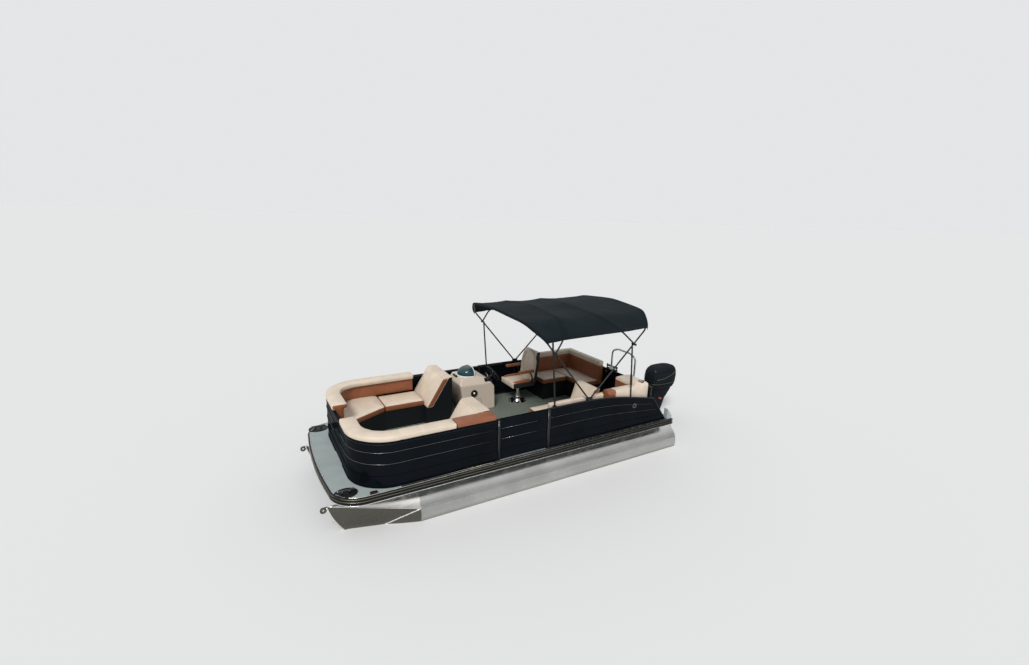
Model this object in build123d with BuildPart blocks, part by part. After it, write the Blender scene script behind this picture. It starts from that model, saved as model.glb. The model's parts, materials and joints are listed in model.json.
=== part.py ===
from build123d import *
import os
from math import cos, radians, sin

# Pontoon boat, millimetres. +X is the bow, +Y is port, +Z is up.
# The origin is amidships on the centreline at the waterline.

# Driving dimensions: deck and fence plan
DECK_LENGTH = 5940
BEAM = 2590
DECK_Z = 600
DECK_THICK = 28
DECK_CORNER_R = 380
DECK_FRONT_BOW = 50
RAIL_THICK = 22
RAIL_HEIGHT = 104
RAIL_RIB = 18
FLOOR_THICK = 4

FENCE_INSET = 70
FENCE_HEIGHT = 655
FENCE_SETBACK = 330
FENCE_CORNER_R = 560
SKIN_THICK = 3
FRAME_TUBE = 32
RIB_PROUD = 6
RIB_TALL = 9

# Tubes and what carries the deck
TUBE_D = 635
TUBE_INSET = 340
TUBE_TOP_BELOW_DECK = 183
NOSE_LENGTH = 1145
NOSE_TIP_BACK = 25
TUBE_OVERHANG = 180
CROSS_TALL = 80
CROSS_WIDE = 45
CROSS_WALL = 5
CROSS_PITCH = 406
CROSS_COUNT = 14

# Gates
BOW_GATE_Y = 100
BOW_GATE_WIDTH = 500
PORT_GATE_FRONT_X = 575
PORT_GATE_AFT_X = -250
STERN_GATE_Y = 280
STERN_GATE_WIDTH = 620
GATE_GAP = 6
GATE_LIFT = 25
HINGE_R = 6
HINGE_PIN_R = 3
HINGE_SEAT = 7
HINGE_LEAF = 30
HINGE_LEAF_THICK = 4
HINGE_KNUCKLE = 28
HINGE_SPLIT = 0.5
PIN_FREE = 0.2

# Aft side walls: distances ahead of the stern, and heights above the deck where their top edge drops
AFT_DROP_X = -990
AFT_MID_IN = 995
AFT_MID_TALL = 553
AFT_TOP_END_IN = 450
AFT_TOP_END_TALL = 447
AFT_FOOT_IN = 120
STERN_FENCE_IN = 490

# Furniture
SIDE_GAP = 40
SEAT_BASE_TALL = 316
CUSHION_THICK = 100
SOFT_GAP = 0.3
LOUNGE_BACK_X = 1100
LOUNGE_AFT_X = 640
LOUNGE_BACK_TALL = 800
SEAT_EDGE_Y = 540
BACK_EDGE_Y = 400
BASE_WALL = 20
BOLSTER_WIDTH = 225
BOLSTER_THICK = 75
BOLSTER_PROUD = 12
PAD_THICK = 125
AFT_LOUNGE_X = -345
STERN_PAD_X = -1430
STERN_PAD_TALL = 745
STERN_BOLSTER_TALL = 705
STERN_BOLSTER_THICK = 180
STERN_BOLSTER_SETBACK = 100
STERN_BLOCK_DEPTH = 330
STERN_SEAT_THICK = 90
AFT_STBD_X = -1350
STERN_SEAT_DEPTH = 560
STERN_SEAT_END_Y = -60

# Helm
CONSOLE_FRONT_X = 400
CONSOLE_AFT_X = -310
CONSOLE_EDGE_Y = 590
CONSOLE_TALL = 640
SCREEN_TALL = 150
SCREEN_THICK = 5
WHEEL_D = 360
WHEEL_GRIP = 28
WHEEL_TILT = 35
CHAIR_X = -870
CHAIR_FROM_SIDE = 430
CHAIR_SEAT = 480
CHAIR_SEAT_Z = 1060

# Bimini
BOW_TUBE = 26
BIMINI_INSET = 25
BIMINI_BASE_X = -1070
FRONT_KNEE = (-340, 2130)
REAR_KNEE = (-1940, 2100)
FRONT_TOP_X = -120
FRONT_INNER_X = -500
REAR_INNER_X = -1600
REAR_TOP_X = -2200
CANOPY_SIDE_Z = 2380
CANOPY_CROWN = 250
CANOPY_THICK = 6
FRONT_FOOT_X = -410
REAR_FOOT_IN = 960

# Outboard
TRANSOM_OVERHANG = 560
POD_FRONT_IN = 970
POD_WIDTH = 560
POD_BOTTOM_Z = -150
POD_TOP_Z = 520
TILT_BEHIND = 70
TILT_Z = 560
STEER_BEHIND = 170
COWL_BOTTOM_Z = 640
COWL_TOP_Z = 1130
PROP_Z = -360
PROP_D = 380
GEARCASE_R = 62

# Worked out from the sizes above
HALF_L = DECK_LENGTH / 2
HALF_B = BEAM / 2
DECK_HALF = HALF_B - RAIL_THICK
AFT_MID_X = -HALF_L + AFT_MID_IN
AFT_TOP_END_X = -HALF_L + AFT_TOP_END_IN
AFT_FOOT_X = -HALF_L + AFT_FOOT_IN
STERN_FENCE_X = -HALF_L + STERN_FENCE_IN
FENCE_HALF = HALF_B - FENCE_INSET
FENCE_FRONT = HALF_L - FENCE_SETBACK
FENCE_TOP = DECK_Z + FENCE_HEIGHT
FRAME_IN = SKIN_THICK + FRAME_TUBE
FRAME_Y = FENCE_HALF - SKIN_THICK - FRAME_TUBE / 2
FLOOR_Z = DECK_Z + FLOOR_THICK
BASE_TOP = FLOOR_Z + SEAT_BASE_TALL
SEAT_Z = BASE_TOP + SOFT_GAP
SEAT_TOP = SEAT_Z + CUSHION_THICK
TUBE_R = TUBE_D / 2
TUBE_Y = HALF_B - TUBE_INSET
TUBE_TOP = DECK_Z - TUBE_TOP_BELOW_DECK
TUBE_Z = TUBE_TOP - TUBE_R
TUBE_AFT_X = -HALF_L - TUBE_OVERHANG
NOSE_TIP_X = HALF_L - NOSE_TIP_BACK
NOSE_SEAM_X = NOSE_TIP_X - NOSE_LENGTH
CROSS_Z = DECK_Z - DECK_THICK - CROSS_TALL
FRAME_FACE_Y = FENCE_HALF - FRAME_IN
WALL_Y = FRAME_FACE_Y - 2
SIDE_Y = FRAME_FACE_Y - SIDE_GAP
CHAIR_Y = -SIDE_Y + CHAIR_FROM_SIDE
BIMINI_HALF = FENCE_HALF - BIMINI_INSET
TRANSOM_X = -HALF_L - TRANSOM_OVERHANG
TILT_X = TRANSOM_X - TILT_BEHIND
STEER_X = TRANSOM_X - STEER_BEHIND
POD_FRONT_X = -HALF_L + POD_FRONT_IN
REAR_FOOT_X = -HALF_L + REAR_FOOT_IN
GATE_LOW_Y = STERN_GATE_Y - STERN_GATE_WIDTH / 2
GATE_HIGH_Y = STERN_GATE_Y + STERN_GATE_WIDTH / 2
HINGE_ZS = (DECK_Z + 140, DECK_Z + 360)
BOW_PIVOT = (FENCE_FRONT - FRAME_IN - HINGE_SEAT, BOW_GATE_Y + BOW_GATE_WIDTH / 2 - GATE_GAP / 2)
PORT_PIVOT = (PORT_GATE_AFT_X + GATE_GAP / 2, FRAME_FACE_Y - HINGE_SEAT)
STERN_PIVOT = (STERN_FENCE_X + FRAME_TUBE / 2 + HINGE_SEAT, GATE_HIGH_Y - GATE_GAP / 2)

os.makedirs("parts", exist_ok=True)


def save(piece, name):
    piece.part.label = name
    export_step(piece.part, f"parts/{name}.step")


def box(x0, x1, y0, y1, z0, z1, mode=Mode.ADD):
    """A block between two corners, in the part block that is open."""
    with Locations(((x0 + x1) / 2, (y0 + y1) / 2, (z0 + z1) / 2)):
        return Box(abs(x1 - x0), abs(y1 - y0), abs(z1 - z0), mode=mode)


def window(x0, x1, y0, y1):
    """Keeps only this rectangle of the sketch that is open."""
    with Locations(((x0 + x1) / 2, (y0 + y1) / 2)):
        Rectangle(abs(x1 - x0), abs(y1 - y0), mode=Mode.INTERSECT)


def side_span(side, y_in, y_out):
    return (y_in, y_out) if side > 0 else (-y_out, -y_in)


def hinge_half(pivot, face, toward, on_gate):
    """One side of a gate's hinges, in the part block that is open.

    face points from the pivot to the faces that carry the leaves, toward runs along the leaf.
    The post's knuckles carry the pin, and the gate's knuckle turns on it.
    """
    leaf_x = sorted(pivot[0] + face[0] * reach for reach in (HINGE_SEAT - HINGE_LEAF_THICK, HINGE_SEAT))
    leaf_y = sorted(pivot[1] + face[1] * reach for reach in (HINGE_SEAT - HINGE_LEAF_THICK, HINGE_SEAT))
    if toward[0]:
        leaf_x = sorted((pivot[0], pivot[0] + toward[0] * HINGE_LEAF))
    else:
        leaf_y = sorted((pivot[1], pivot[1] + toward[1] * HINGE_LEAF))
    for z in HINGE_ZS:
        middle = (z - HINGE_KNUCKLE / 2, z + HINGE_KNUCKLE / 2)
        below = (middle[0] - HINGE_SPLIT - HINGE_KNUCKLE, middle[0] - HINGE_SPLIT)
        above = (middle[1] + HINGE_SPLIT, middle[1] + HINGE_SPLIT + HINGE_KNUCKLE)
        for low, high in [middle] if on_gate else [below, above]:
            with Locations((*pivot, (low + high) / 2)):
                Cylinder(HINGE_R, high - low)
            box(*leaf_x, *leaf_y, low, high)
        with Locations((*pivot, z)):
            if on_gate:
                Cylinder(HINGE_PIN_R + PIN_FREE, 2 * HINGE_KNUCKLE, mode=Mode.SUBTRACT)
            else:
                Cylinder(HINGE_PIN_R, 3 * HINGE_KNUCKLE)


def fence_face(inset, mode=Mode.ADD):
    """The fence's plan, open to far behind the stern, in the sketch that is open."""
    half = FENCE_HALF - inset
    front = FENCE_FRONT - inset
    radius = FENCE_CORNER_R - inset
    aft = -2 * HALF_L
    corner = radius * (1 - cos(radians(45)))
    with BuildLine() as plan:
        Line((aft, -half), (front - radius, -half))
        ThreePointArc((front - radius, -half), (front - corner, -half + corner), (front, -half + radius))
        Line((front, -half + radius), (front, half - radius))
        ThreePointArc((front, half - radius), (front - corner, half - corner), (front - radius, half))
        Polyline((front - radius, half), (aft, half), (aft, -half))
    make_face(plan.edges(), mode=mode)


def fence_band(outer, inner, x0, x1, y0, y1):
    fence_face(outer)
    fence_face(inner, mode=Mode.SUBTRACT)
    window(x0, x1, y0, y1)


def deck_face(grow, mode=Mode.ADD):
    """The deck's plan, with its rounded bow corners and slightly bowed front edge."""
    half = DECK_HALF + grow
    front = HALF_L - RAIL_THICK + grow
    shoulder = front - DECK_FRONT_BOW
    radius = DECK_CORNER_R + grow
    corner = radius * (1 - cos(radians(45)))
    with BuildLine() as plan:
        Line((-HALF_L - grow, -half), (shoulder - radius, -half))
        ThreePointArc(
            (shoulder - radius, -half), (shoulder - corner, -half + corner), (shoulder, -half + radius)
        )
        ThreePointArc((shoulder, -half + radius), (front, 0), (shoulder, half - radius))
        ThreePointArc(
            (shoulder, half - radius), (shoulder - corner, half - corner), (shoulder - radius, half)
        )
        Polyline((shoulder - radius, half), (-HALF_L - grow, half), (-HALF_L - grow, -half))
    make_face(plan.edges(), mode=mode)


# Pontoon tubes. A nose is folded from plate: a cone from the tube's upper part to the tip, a cone
# from its lower part to the foot of the stem, and two flanks that meet in the curved stem.
NOSE_TIP_Z = TUBE_TOP - 20
CREASE_ANGLE = 18
STEM_MID = (NOSE_TIP_X - 170, TUBE_TOP - 372)
STEM_FOOT = (NOSE_TIP_X - 355, TUBE_TOP - 566)
STEM_THICK = 14
STEM_PROUD = 18
BOW_EYE_X = NOSE_TIP_X + 60
BOW_EYE_Z = TUBE_TOP - 58
BOW_EYE_R = 14
EYE_RING_R = 42
BRACKET_HALF = 110
BRACKET_WALL = 6
BRACKET_FLANGE = 30
BRACKET_SINK = 120
BRACKET_AFT_IN = 200
BRACKET_PAST_SEAM = 520
STRAKE_AFT_IN = 250
STRAKE_TOP_DROP = 160
STRAKE_DROP = 212
CREASE_Y = TUBE_R * cos(radians(CREASE_ANGLE))
CREASE_Z = TUBE_Z + TUBE_R * sin(radians(CREASE_ANGLE))


def tube_part(seam, far_z):
    """The tube's round section at the seam, cut off at the crease, as far as far_z."""
    with BuildSketch(seam) as section:
        with BuildLine():
            ThreePointArc((-CREASE_Y, CREASE_Z), (0, far_z), (CREASE_Y, CREASE_Z))
            Line((CREASE_Y, CREASE_Z), (-CREASE_Y, CREASE_Z))
        make_face()
    return section.sketch


def stem_face(centre):
    """The side view of the stem's plate, with the bow eye's ring."""
    eye_side = (NOSE_TIP_X + STEM_PROUD, NOSE_TIP_Z - EYE_RING_R)
    foot = (STEM_FOOT[0] + STEM_PROUD / 2, STEM_FOOT[1] - STEM_PROUD)
    with BuildSketch(Plane.XZ.offset(-centre - STEM_THICK / 2)) as plate:
        with BuildLine():
            ThreePointArc(eye_side, (STEM_MID[0] + STEM_PROUD, STEM_MID[1]), foot)
            Polyline(
                foot, (NOSE_SEAM_X, TUBE_TOP - TUBE_D - STEM_PROUD), (NOSE_SEAM_X, TUBE_Z),
                (NOSE_TIP_X - 60, NOSE_TIP_Z), (BOW_EYE_X, BOW_EYE_Z + EYE_RING_R),
                (BOW_EYE_X, BOW_EYE_Z), eye_side,
            )
        make_face()
        with Locations((BOW_EYE_X, BOW_EYE_Z)):
            Circle(EYE_RING_R)
            Circle(BOW_EYE_R, mode=Mode.SUBTRACT)
    return plate.sketch


def build_pontoon(side):
    centre = side * TUBE_Y
    seam = Plane.YZ.offset(NOSE_SEAM_X).shift_origin((NOSE_SEAM_X, centre, 0))
    with BuildSketch(Plane.XZ.offset(-centre)) as middle:
        with BuildLine():
            ThreePointArc((NOSE_TIP_X, NOSE_TIP_Z), STEM_MID, STEM_FOOT)
            Polyline(STEM_FOOT, (NOSE_SEAM_X, CREASE_Z), (NOSE_TIP_X, NOSE_TIP_Z))
        make_face()
    bracket_aft = TUBE_AFT_X + BRACKET_AFT_IN
    bracket_front = NOSE_SEAM_X + BRACKET_PAST_SEAM
    with BuildPart() as pontoon:
        with BuildSketch(seam):
            with Locations((0, TUBE_Z)):
                Circle(TUBE_R)
        extrude(amount=TUBE_AFT_X - NOSE_SEAM_X)
        loft([tube_part(seam, TUBE_TOP), Vertex(NOSE_TIP_X, centre, NOSE_TIP_Z)], ruled=True)
        loft([tube_part(seam, TUBE_TOP - TUBE_D), Vertex(STEM_FOOT[0], centre, STEM_FOOT[1])], ruled=True)
        for lean in (-1, 1):
            loft([middle.sketch, Vertex(NOSE_SEAM_X, centre + lean * CREASE_Y, CREASE_Z)], ruled=True)
        extrude(stem_face(centre), amount=STEM_THICK)
        for lean in (-1, 1):
            strake_y = centre + lean * TUBE_R * 0.78
            with BuildSketch(Plane.YZ.offset(TUBE_AFT_X + STRAKE_AFT_IN)):
                with BuildLine():
                    Polyline(
                        (strake_y, TUBE_Z - STRAKE_TOP_DROP), (strake_y + lean * 45, TUBE_Z - STRAKE_DROP),
                        (strake_y - lean * 30, TUBE_Z - STRAKE_DROP), close=True,
                    )
                make_face()
            extrude(amount=NOSE_SEAM_X - TUBE_AFT_X - STRAKE_AFT_IN)
            box(
                bracket_aft, bracket_front,
                centre + lean * BRACKET_HALF, centre + lean * (BRACKET_HALF + BRACKET_WALL),
                TUBE_TOP - BRACKET_SINK, CROSS_Z,
            )
        box(
            bracket_aft, bracket_front, centre - BRACKET_HALF - BRACKET_FLANGE,
            centre + BRACKET_HALF + BRACKET_FLANGE, CROSS_Z - BRACKET_WALL, CROSS_Z,
        )
    return pontoon


pontoon_port = build_pontoon(1)
save(pontoon_port, "pontoon_port")
pontoon_starboard = build_pontoon(-1)
save(pontoon_starboard, "pontoon_starboard")

# Crossmembers: channels laid across the brackets
CROSS_AFT_IN = 90
CROSS_END_BACK = 20
CROSS_FRONT_END_BACK = 150
with BuildPart() as crossmembers:
    for index in range(CROSS_COUNT):
        x = -HALF_L + CROSS_AFT_IN + index * CROSS_PITCH
        reach = DECK_HALF - (CROSS_END_BACK if index < CROSS_COUNT - 1 else CROSS_FRONT_END_BACK)
        with BuildSketch(Plane.XZ.offset(-reach)):
            with Locations((x, CROSS_Z + CROSS_TALL / 2)):
                Rectangle(CROSS_WIDE, CROSS_TALL)
                with Locations((CROSS_WALL, 0)):
                    Rectangle(CROSS_WIDE, CROSS_TALL - 2 * CROSS_WALL, mode=Mode.SUBTRACT)
        extrude(amount=2 * reach)
save(crossmembers, "crossmembers")

# Motor pod: a V-bottomed aluminium box under the deck that ends in the transom, with a splash well
POD_KNEE_X = TRANSOM_X + 930
POD_FRONT_Z = 250
POD_DECK_GAP = 30
POD_WALL = 40
WELL_FLOOR_Z = 300
with BuildPart() as motor_pod:
    with BuildSketch(Plane.XZ.offset(-POD_WIDTH / 2)):
        with BuildLine():
            Polyline(
                (TRANSOM_X, POD_BOTTOM_Z), (POD_KNEE_X, POD_BOTTOM_Z), (POD_FRONT_X, POD_FRONT_Z),
                (POD_FRONT_X, CROSS_Z), (-HALF_L - POD_DECK_GAP, CROSS_Z),
                (-HALF_L - 2 * POD_DECK_GAP, POD_TOP_Z), (TRANSOM_X, POD_TOP_Z), close=True,
            )
        make_face()
    extrude(amount=POD_WIDTH)
    chamfer(motor_pod.edges().filter_by(Axis.X).group_by(Axis.Z)[0], length=90, length2=150)
    box(
        -HALF_L - 2 * POD_DECK_GAP, TRANSOM_X + POD_WALL + 20, -POD_WIDTH / 2 + POD_WALL,
        POD_WIDTH / 2 - POD_WALL, WELL_FLOOR_Z, POD_TOP_Z + POD_WALL, mode=Mode.SUBTRACT,
    )
save(motor_pod, "motor_pod")

# Deck, cockpit floor and the rub rail round the deck's edge
with BuildPart() as deck:
    with BuildSketch(Plane.XY.offset(DECK_Z - DECK_THICK)):
        deck_face(0)
    extrude(amount=DECK_THICK)
save(deck, "deck")

with BuildPart() as cockpit_floor:
    with BuildSketch(Plane.XY.offset(DECK_Z)):
        fence_face(FRAME_IN + 2)
        window(STERN_FENCE_X + FRAME_TUBE / 2 + 2, FENCE_FRONT, -FENCE_HALF, FENCE_HALF)
    extrude(amount=FLOOR_THICK)
save(cockpit_floor, "cockpit_floor")

RAIL_BANDS = [
    # bottom below the deck, height, how far it stands off the deck's edge
    (RAIL_HEIGHT, RAIL_HEIGHT, RAIL_THICK - 8),
    (RAIL_HEIGHT - 8, RAIL_RIB, RAIL_THICK),
    (RAIL_HEIGHT - 42, RAIL_RIB, RAIL_THICK),
    (RAIL_RIB + 4, RAIL_RIB, RAIL_THICK),
]
with BuildPart() as rub_rail:
    for below, tall, proud in RAIL_BANDS:
        with BuildSketch(Plane.XY.offset(DECK_Z - below)):
            deck_face(proud)
            deck_face(0, mode=Mode.SUBTRACT)
        extrude(amount=tall)
save(rub_rail, "rub_rail")

# Moulded bow corner caps with a recess and a cleat
CAP_X = HALF_L - 230
CAP_Y = DECK_HALF - 188
CAP_R = 150
with BuildPart() as deck_corner_caps:
    for side in (-1, 1):
        with BuildSketch(Plane.XY.offset(DECK_Z)):
            with Locations((CAP_X, side * CAP_Y)):
                Ellipse(CAP_R, CAP_R * 0.8)
        extrude(amount=10)
        with BuildSketch(Plane.XY.offset(DECK_Z + 5)):
            with Locations((CAP_X, side * CAP_Y)):
                Ellipse(CAP_R - 18, CAP_R * 0.8 - 18)
        extrude(amount=5, mode=Mode.SUBTRACT)
        with BuildSketch(Plane.XY.offset(DECK_Z + 5)):
            with Locations((CAP_X, side * CAP_Y)):
                with GridLocations(90, 0, 2, 1):
                    Circle(12)
        extrude(amount=42)
        with BuildSketch(Plane.XY.offset(DECK_Z + 40)):
            with Locations((CAP_X, side * CAP_Y)):
                SlotOverall(210, 26)
        extrude(amount=18)
save(deck_corner_caps, "deck_corner_caps")

# Stern corner wedges, behind the raked ends of the side walls
WEDGE_GAP = 8
WEDGE_TALL = 200
WEDGE_END_TALL = 60
with BuildPart() as stern_corner_wedges:
    for side in (-1, 1):
        span = side_span(side, FRAME_FACE_Y, DECK_HALF)
        with BuildSketch(Plane.XZ.offset(-span[1])):
            with BuildLine():
                Polyline(
                    (AFT_FOOT_X - WEDGE_GAP, DECK_Z), (AFT_FOOT_X - WEDGE_GAP, DECK_Z + WEDGE_TALL),
                    (-HALF_L, DECK_Z + WEDGE_END_TALL), (-HALF_L, DECK_Z), close=True,
                )
            make_face()
        extrude(amount=span[1] - span[0])
save(stern_corner_wedges, "stern_corner_wedges")

# Fence frames: square tube rails and posts; the aft walls drop towards the stern
BOW_POST_X = [FENCE_FRONT - 1310, FENCE_FRONT - 580]
AFT_POST_X = [BIMINI_BASE_X, REAR_FOOT_X]
RIB_SHARES = [0.23, 0.48, 0.74, 0.97]


def bow_window(side):
    """The plan window of a bow section, from its gate post round the corner to its aft end."""
    gate_edge = BOW_GATE_Y + side * BOW_GATE_WIDTH / 2
    return (PORT_GATE_FRONT_X, FENCE_FRONT + 50, *sorted((gate_edge, side * (FENCE_HALF + 50))))


def aft_wall_face(front_x):
    """Side view of the aft wall, with its curved, dropping top edge and raked end."""
    with BuildLine() as side_view:
        Polyline((AFT_FOOT_X, DECK_Z), (front_x, DECK_Z), (front_x, FENCE_TOP), (AFT_DROP_X, FENCE_TOP))
        aft_top = (AFT_TOP_END_X, DECK_Z + AFT_TOP_END_TALL)
        ThreePointArc((AFT_DROP_X, FENCE_TOP), (AFT_MID_X, DECK_Z + AFT_MID_TALL), aft_top)
        Line(aft_top, (AFT_FOOT_X, DECK_Z))
    make_face(side_view.edges())


def build_fence_frame(side):
    rails = side_span(side, FENCE_HALF - FRAME_IN, FENCE_HALF - SKIN_THICK)
    with BuildPart() as frame:
        for z in (DECK_Z, FENCE_TOP - FRAME_TUBE):
            with BuildSketch(Plane.XY.offset(z)):
                fence_band(SKIN_THICK, FRAME_IN, *bow_window(side))
            extrude(amount=FRAME_TUBE)
        for x in [PORT_GATE_FRONT_X + FRAME_TUBE / 2] + BOW_POST_X:
            box(x - FRAME_TUBE / 2, x + FRAME_TUBE / 2, *rails, DECK_Z, FENCE_TOP)
        gate_edge = BOW_GATE_Y + side * BOW_GATE_WIDTH / 2
        box(
            FENCE_FRONT - FRAME_IN, FENCE_FRONT - SKIN_THICK,
            gate_edge, gate_edge + side * FRAME_TUBE, DECK_Z, FENCE_TOP,
        )
        front_x = PORT_GATE_AFT_X
        with BuildSketch(Plane.XZ.offset(-rails[1])):
            aft_wall_face(front_x)
            offset(amount=-FRAME_TUBE, mode=Mode.SUBTRACT)
        extrude(amount=FRAME_TUBE)
        for x in AFT_POST_X:
            box(x - FRAME_TUBE / 2, x + FRAME_TUBE / 2, *rails, DECK_Z, DECK_Z + AFT_MID_TALL - FRAME_TUBE)
        if side < 0:
            for z in (DECK_Z, FENCE_TOP - FRAME_TUBE):
                box(PORT_GATE_AFT_X, PORT_GATE_FRONT_X, *rails, z, z + FRAME_TUBE)
        else:
            hinge_half(BOW_PIVOT, (1, 0), (0, 1), on_gate=False)
            hinge_half(PORT_PIVOT, (0, 1), (-1, 0), on_gate=False)
    return frame


def build_fence_skins(side):
    skin = side_span(side, FENCE_HALF - SKIN_THICK, FENCE_HALF)
    ribs = side_span(side, FENCE_HALF - SKIN_THICK, FENCE_HALF + RIB_PROUD)
    with BuildPart() as skins:
        with BuildSketch(Plane.XY.offset(DECK_Z)):
            fence_band(0, SKIN_THICK, *bow_window(side))
        extrude(amount=FENCE_HEIGHT)
        for share in RIB_SHARES:
            with BuildSketch(Plane.XY.offset(FENCE_TOP - share * FENCE_HEIGHT - RIB_TALL / 2)):
                fence_band(-RIB_PROUD, SKIN_THICK, *bow_window(side))
            extrude(amount=RIB_TALL)
        with BuildSketch(Plane.XZ.offset(-skin[1])):
            aft_wall_face(PORT_GATE_AFT_X)
        extrude(amount=SKIN_THICK)
        if side < 0:
            box(PORT_GATE_AFT_X + 1, PORT_GATE_FRONT_X - 1, *skin, DECK_Z, FENCE_TOP)
            for share in RIB_SHARES:
                z = FENCE_TOP - share * FENCE_HEIGHT
                box(PORT_GATE_AFT_X + 20, PORT_GATE_FRONT_X - 20, *ribs, z - RIB_TALL / 2, z + RIB_TALL / 2)
    return skins


fence_frame_port = build_fence_frame(1)
save(fence_frame_port, "fence_frame_port")
fence_frame_starboard = build_fence_frame(-1)
save(fence_frame_starboard, "fence_frame_starboard")
fence_skins_port = build_fence_skins(1)
save(fence_skins_port, "fence_skins_port")
fence_skins_starboard = build_fence_skins(-1)
save(fence_skins_starboard, "fence_skins_starboard")

# Stern fence, each side of the stern gate
STERN_TOP = DECK_Z + AFT_TOP_END_TALL + 210
STERN_SPANS = [(-FRAME_FACE_Y, GATE_LOW_Y), (GATE_HIGH_Y, FRAME_FACE_Y)]
with BuildPart() as stern_fence:
    for low, high in STERN_SPANS:
        with BuildSketch(Plane.YZ.offset(STERN_FENCE_X - FRAME_TUBE / 2)):
            with Locations(((low + high) / 2, (DECK_Z + STERN_TOP) / 2)):
                Rectangle(high - low, STERN_TOP - DECK_Z)
                Rectangle(
                    high - low - 2 * FRAME_TUBE, STERN_TOP - DECK_Z - 2 * FRAME_TUBE, mode=Mode.SUBTRACT
                )
        extrude(amount=FRAME_TUBE)
        box(
            STERN_FENCE_X - FRAME_TUBE / 2 - SKIN_THICK, STERN_FENCE_X - FRAME_TUBE / 2,
            low, high, DECK_Z, STERN_TOP,
        )
    hinge_half(STERN_PIVOT, (-1, 0), (0, 1), on_gate=False)
save(stern_fence, "stern_fence")

# Gates: framed panels that swing inwards on their posts
GATE_Z = DECK_Z + GATE_LIFT
with BuildPart() as bow_gate:
    low = BOW_GATE_Y - BOW_GATE_WIDTH / 2 + GATE_GAP
    high = BOW_GATE_Y + BOW_GATE_WIDTH / 2 - GATE_GAP
    with BuildSketch(Plane.YZ.offset(FENCE_FRONT - FRAME_IN)):
        with Locations((BOW_GATE_Y, (GATE_Z + FENCE_TOP) / 2)):
            Rectangle(high - low, FENCE_TOP - GATE_Z)
            Rectangle(high - low - 2 * FRAME_TUBE, FENCE_TOP - GATE_Z - 2 * FRAME_TUBE, mode=Mode.SUBTRACT)
    extrude(amount=FRAME_TUBE)
    box(FENCE_FRONT - SKIN_THICK, FENCE_FRONT, low, high, GATE_Z, FENCE_TOP)
    for share in RIB_SHARES[:3]:
        z = FENCE_TOP - share * FENCE_HEIGHT
        box(FENCE_FRONT, FENCE_FRONT + RIB_PROUD, low, high, z - RIB_TALL / 2, z + RIB_TALL / 2)
    hinge_half(BOW_PIVOT, (1, 0), (0, -1), on_gate=True)
save(bow_gate, "bow_gate")

with BuildPart() as port_gate:
    low = PORT_GATE_AFT_X + GATE_GAP
    high = PORT_GATE_FRONT_X - GATE_GAP
    with BuildSketch(Plane.XZ.offset(-(FENCE_HALF - SKIN_THICK))):
        with Locations(((low + high) / 2, (GATE_Z + FENCE_TOP) / 2)):
            Rectangle(high - low, FENCE_TOP - GATE_Z)
            Rectangle(high - low - 2 * FRAME_TUBE, FENCE_TOP - GATE_Z - 2 * FRAME_TUBE, mode=Mode.SUBTRACT)
    extrude(amount=FRAME_TUBE)
    box(low, high, FENCE_HALF - SKIN_THICK, FENCE_HALF, GATE_Z, FENCE_TOP)
    for share in RIB_SHARES[:3]:
        z = FENCE_TOP - share * FENCE_HEIGHT
        box(low, high, FENCE_HALF, FENCE_HALF + RIB_PROUD, z - RIB_TALL / 2, z + RIB_TALL / 2)
    hinge_half(PORT_PIVOT, (0, 1), (1, 0), on_gate=True)
save(port_gate, "port_gate")

with BuildPart() as stern_gate:
    low = GATE_LOW_Y + GATE_GAP
    high = GATE_HIGH_Y - GATE_GAP
    with BuildSketch(Plane.YZ.offset(STERN_FENCE_X - FRAME_TUBE / 2)):
        with Locations((STERN_GATE_Y, (GATE_Z + STERN_TOP) / 2)):
            Rectangle(high - low, STERN_TOP - GATE_Z)
            Rectangle(high - low - 2 * FRAME_TUBE, STERN_TOP - GATE_Z - 2 * FRAME_TUBE, mode=Mode.SUBTRACT)
    extrude(amount=FRAME_TUBE)
    box(
        STERN_FENCE_X - FRAME_TUBE / 2 - SKIN_THICK, STERN_FENCE_X - FRAME_TUBE / 2,
        low, high, GATE_Z, STERN_TOP,
    )
    hinge_half(STERN_PIVOT, (-1, 0), (0, -1), on_gate=True)
save(stern_gate, "stern_gate")

# Bow lounges: black moulded bases with storage wells, a lifting seat, a fixed front seat and a back
BOW_SEAT_PLANS = {
    # side: inner edge of the seat in plan, from its aft corner to beside the gate
    -1: [(LOUNGE_AFT_X, BACK_EDGE_Y), (LOUNGE_BACK_X, BACK_EDGE_Y), (LOUNGE_BACK_X, SEAT_EDGE_Y),
         (FENCE_FRONT - 870, SEAT_EDGE_Y), (FENCE_FRONT - 260, 200), (FENCE_FRONT + 60, 200)],
    1: [(LOUNGE_AFT_X, BACK_EDGE_Y), (LOUNGE_BACK_X, BACK_EDGE_Y), (LOUNGE_BACK_X, SEAT_EDGE_Y),
        (FENCE_FRONT - 560, SEAT_EDGE_Y), (FENCE_FRONT - 310, 420), (FENCE_FRONT + 60, 420)],
}
BOW_LID_FRONT_X = {-1: FENCE_FRONT - 875, 1: FENCE_FRONT - 655}
LID_EDGE_Y = SIDE_Y - 100
WELL_EDGE_Y = LID_EDGE_Y - 50
LID_GAP = 6
BACK_FACE_RUN = 300
BACK_TOP_THICK = 110
PORT_BACK_TALL = 722
BOLSTER_STBD_X = LOUNGE_BACK_X + 12
BOLSTER_PORT_X = 1255
BACK_OUTER_Y = {-1: WALL_Y - 4, 1: FENCE_HALF + BOLSTER_PROUD - BOLSTER_WIDTH - 5}
BACK_TALL = {-1: LOUNGE_BACK_TALL, 1: PORT_BACK_TALL}


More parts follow.
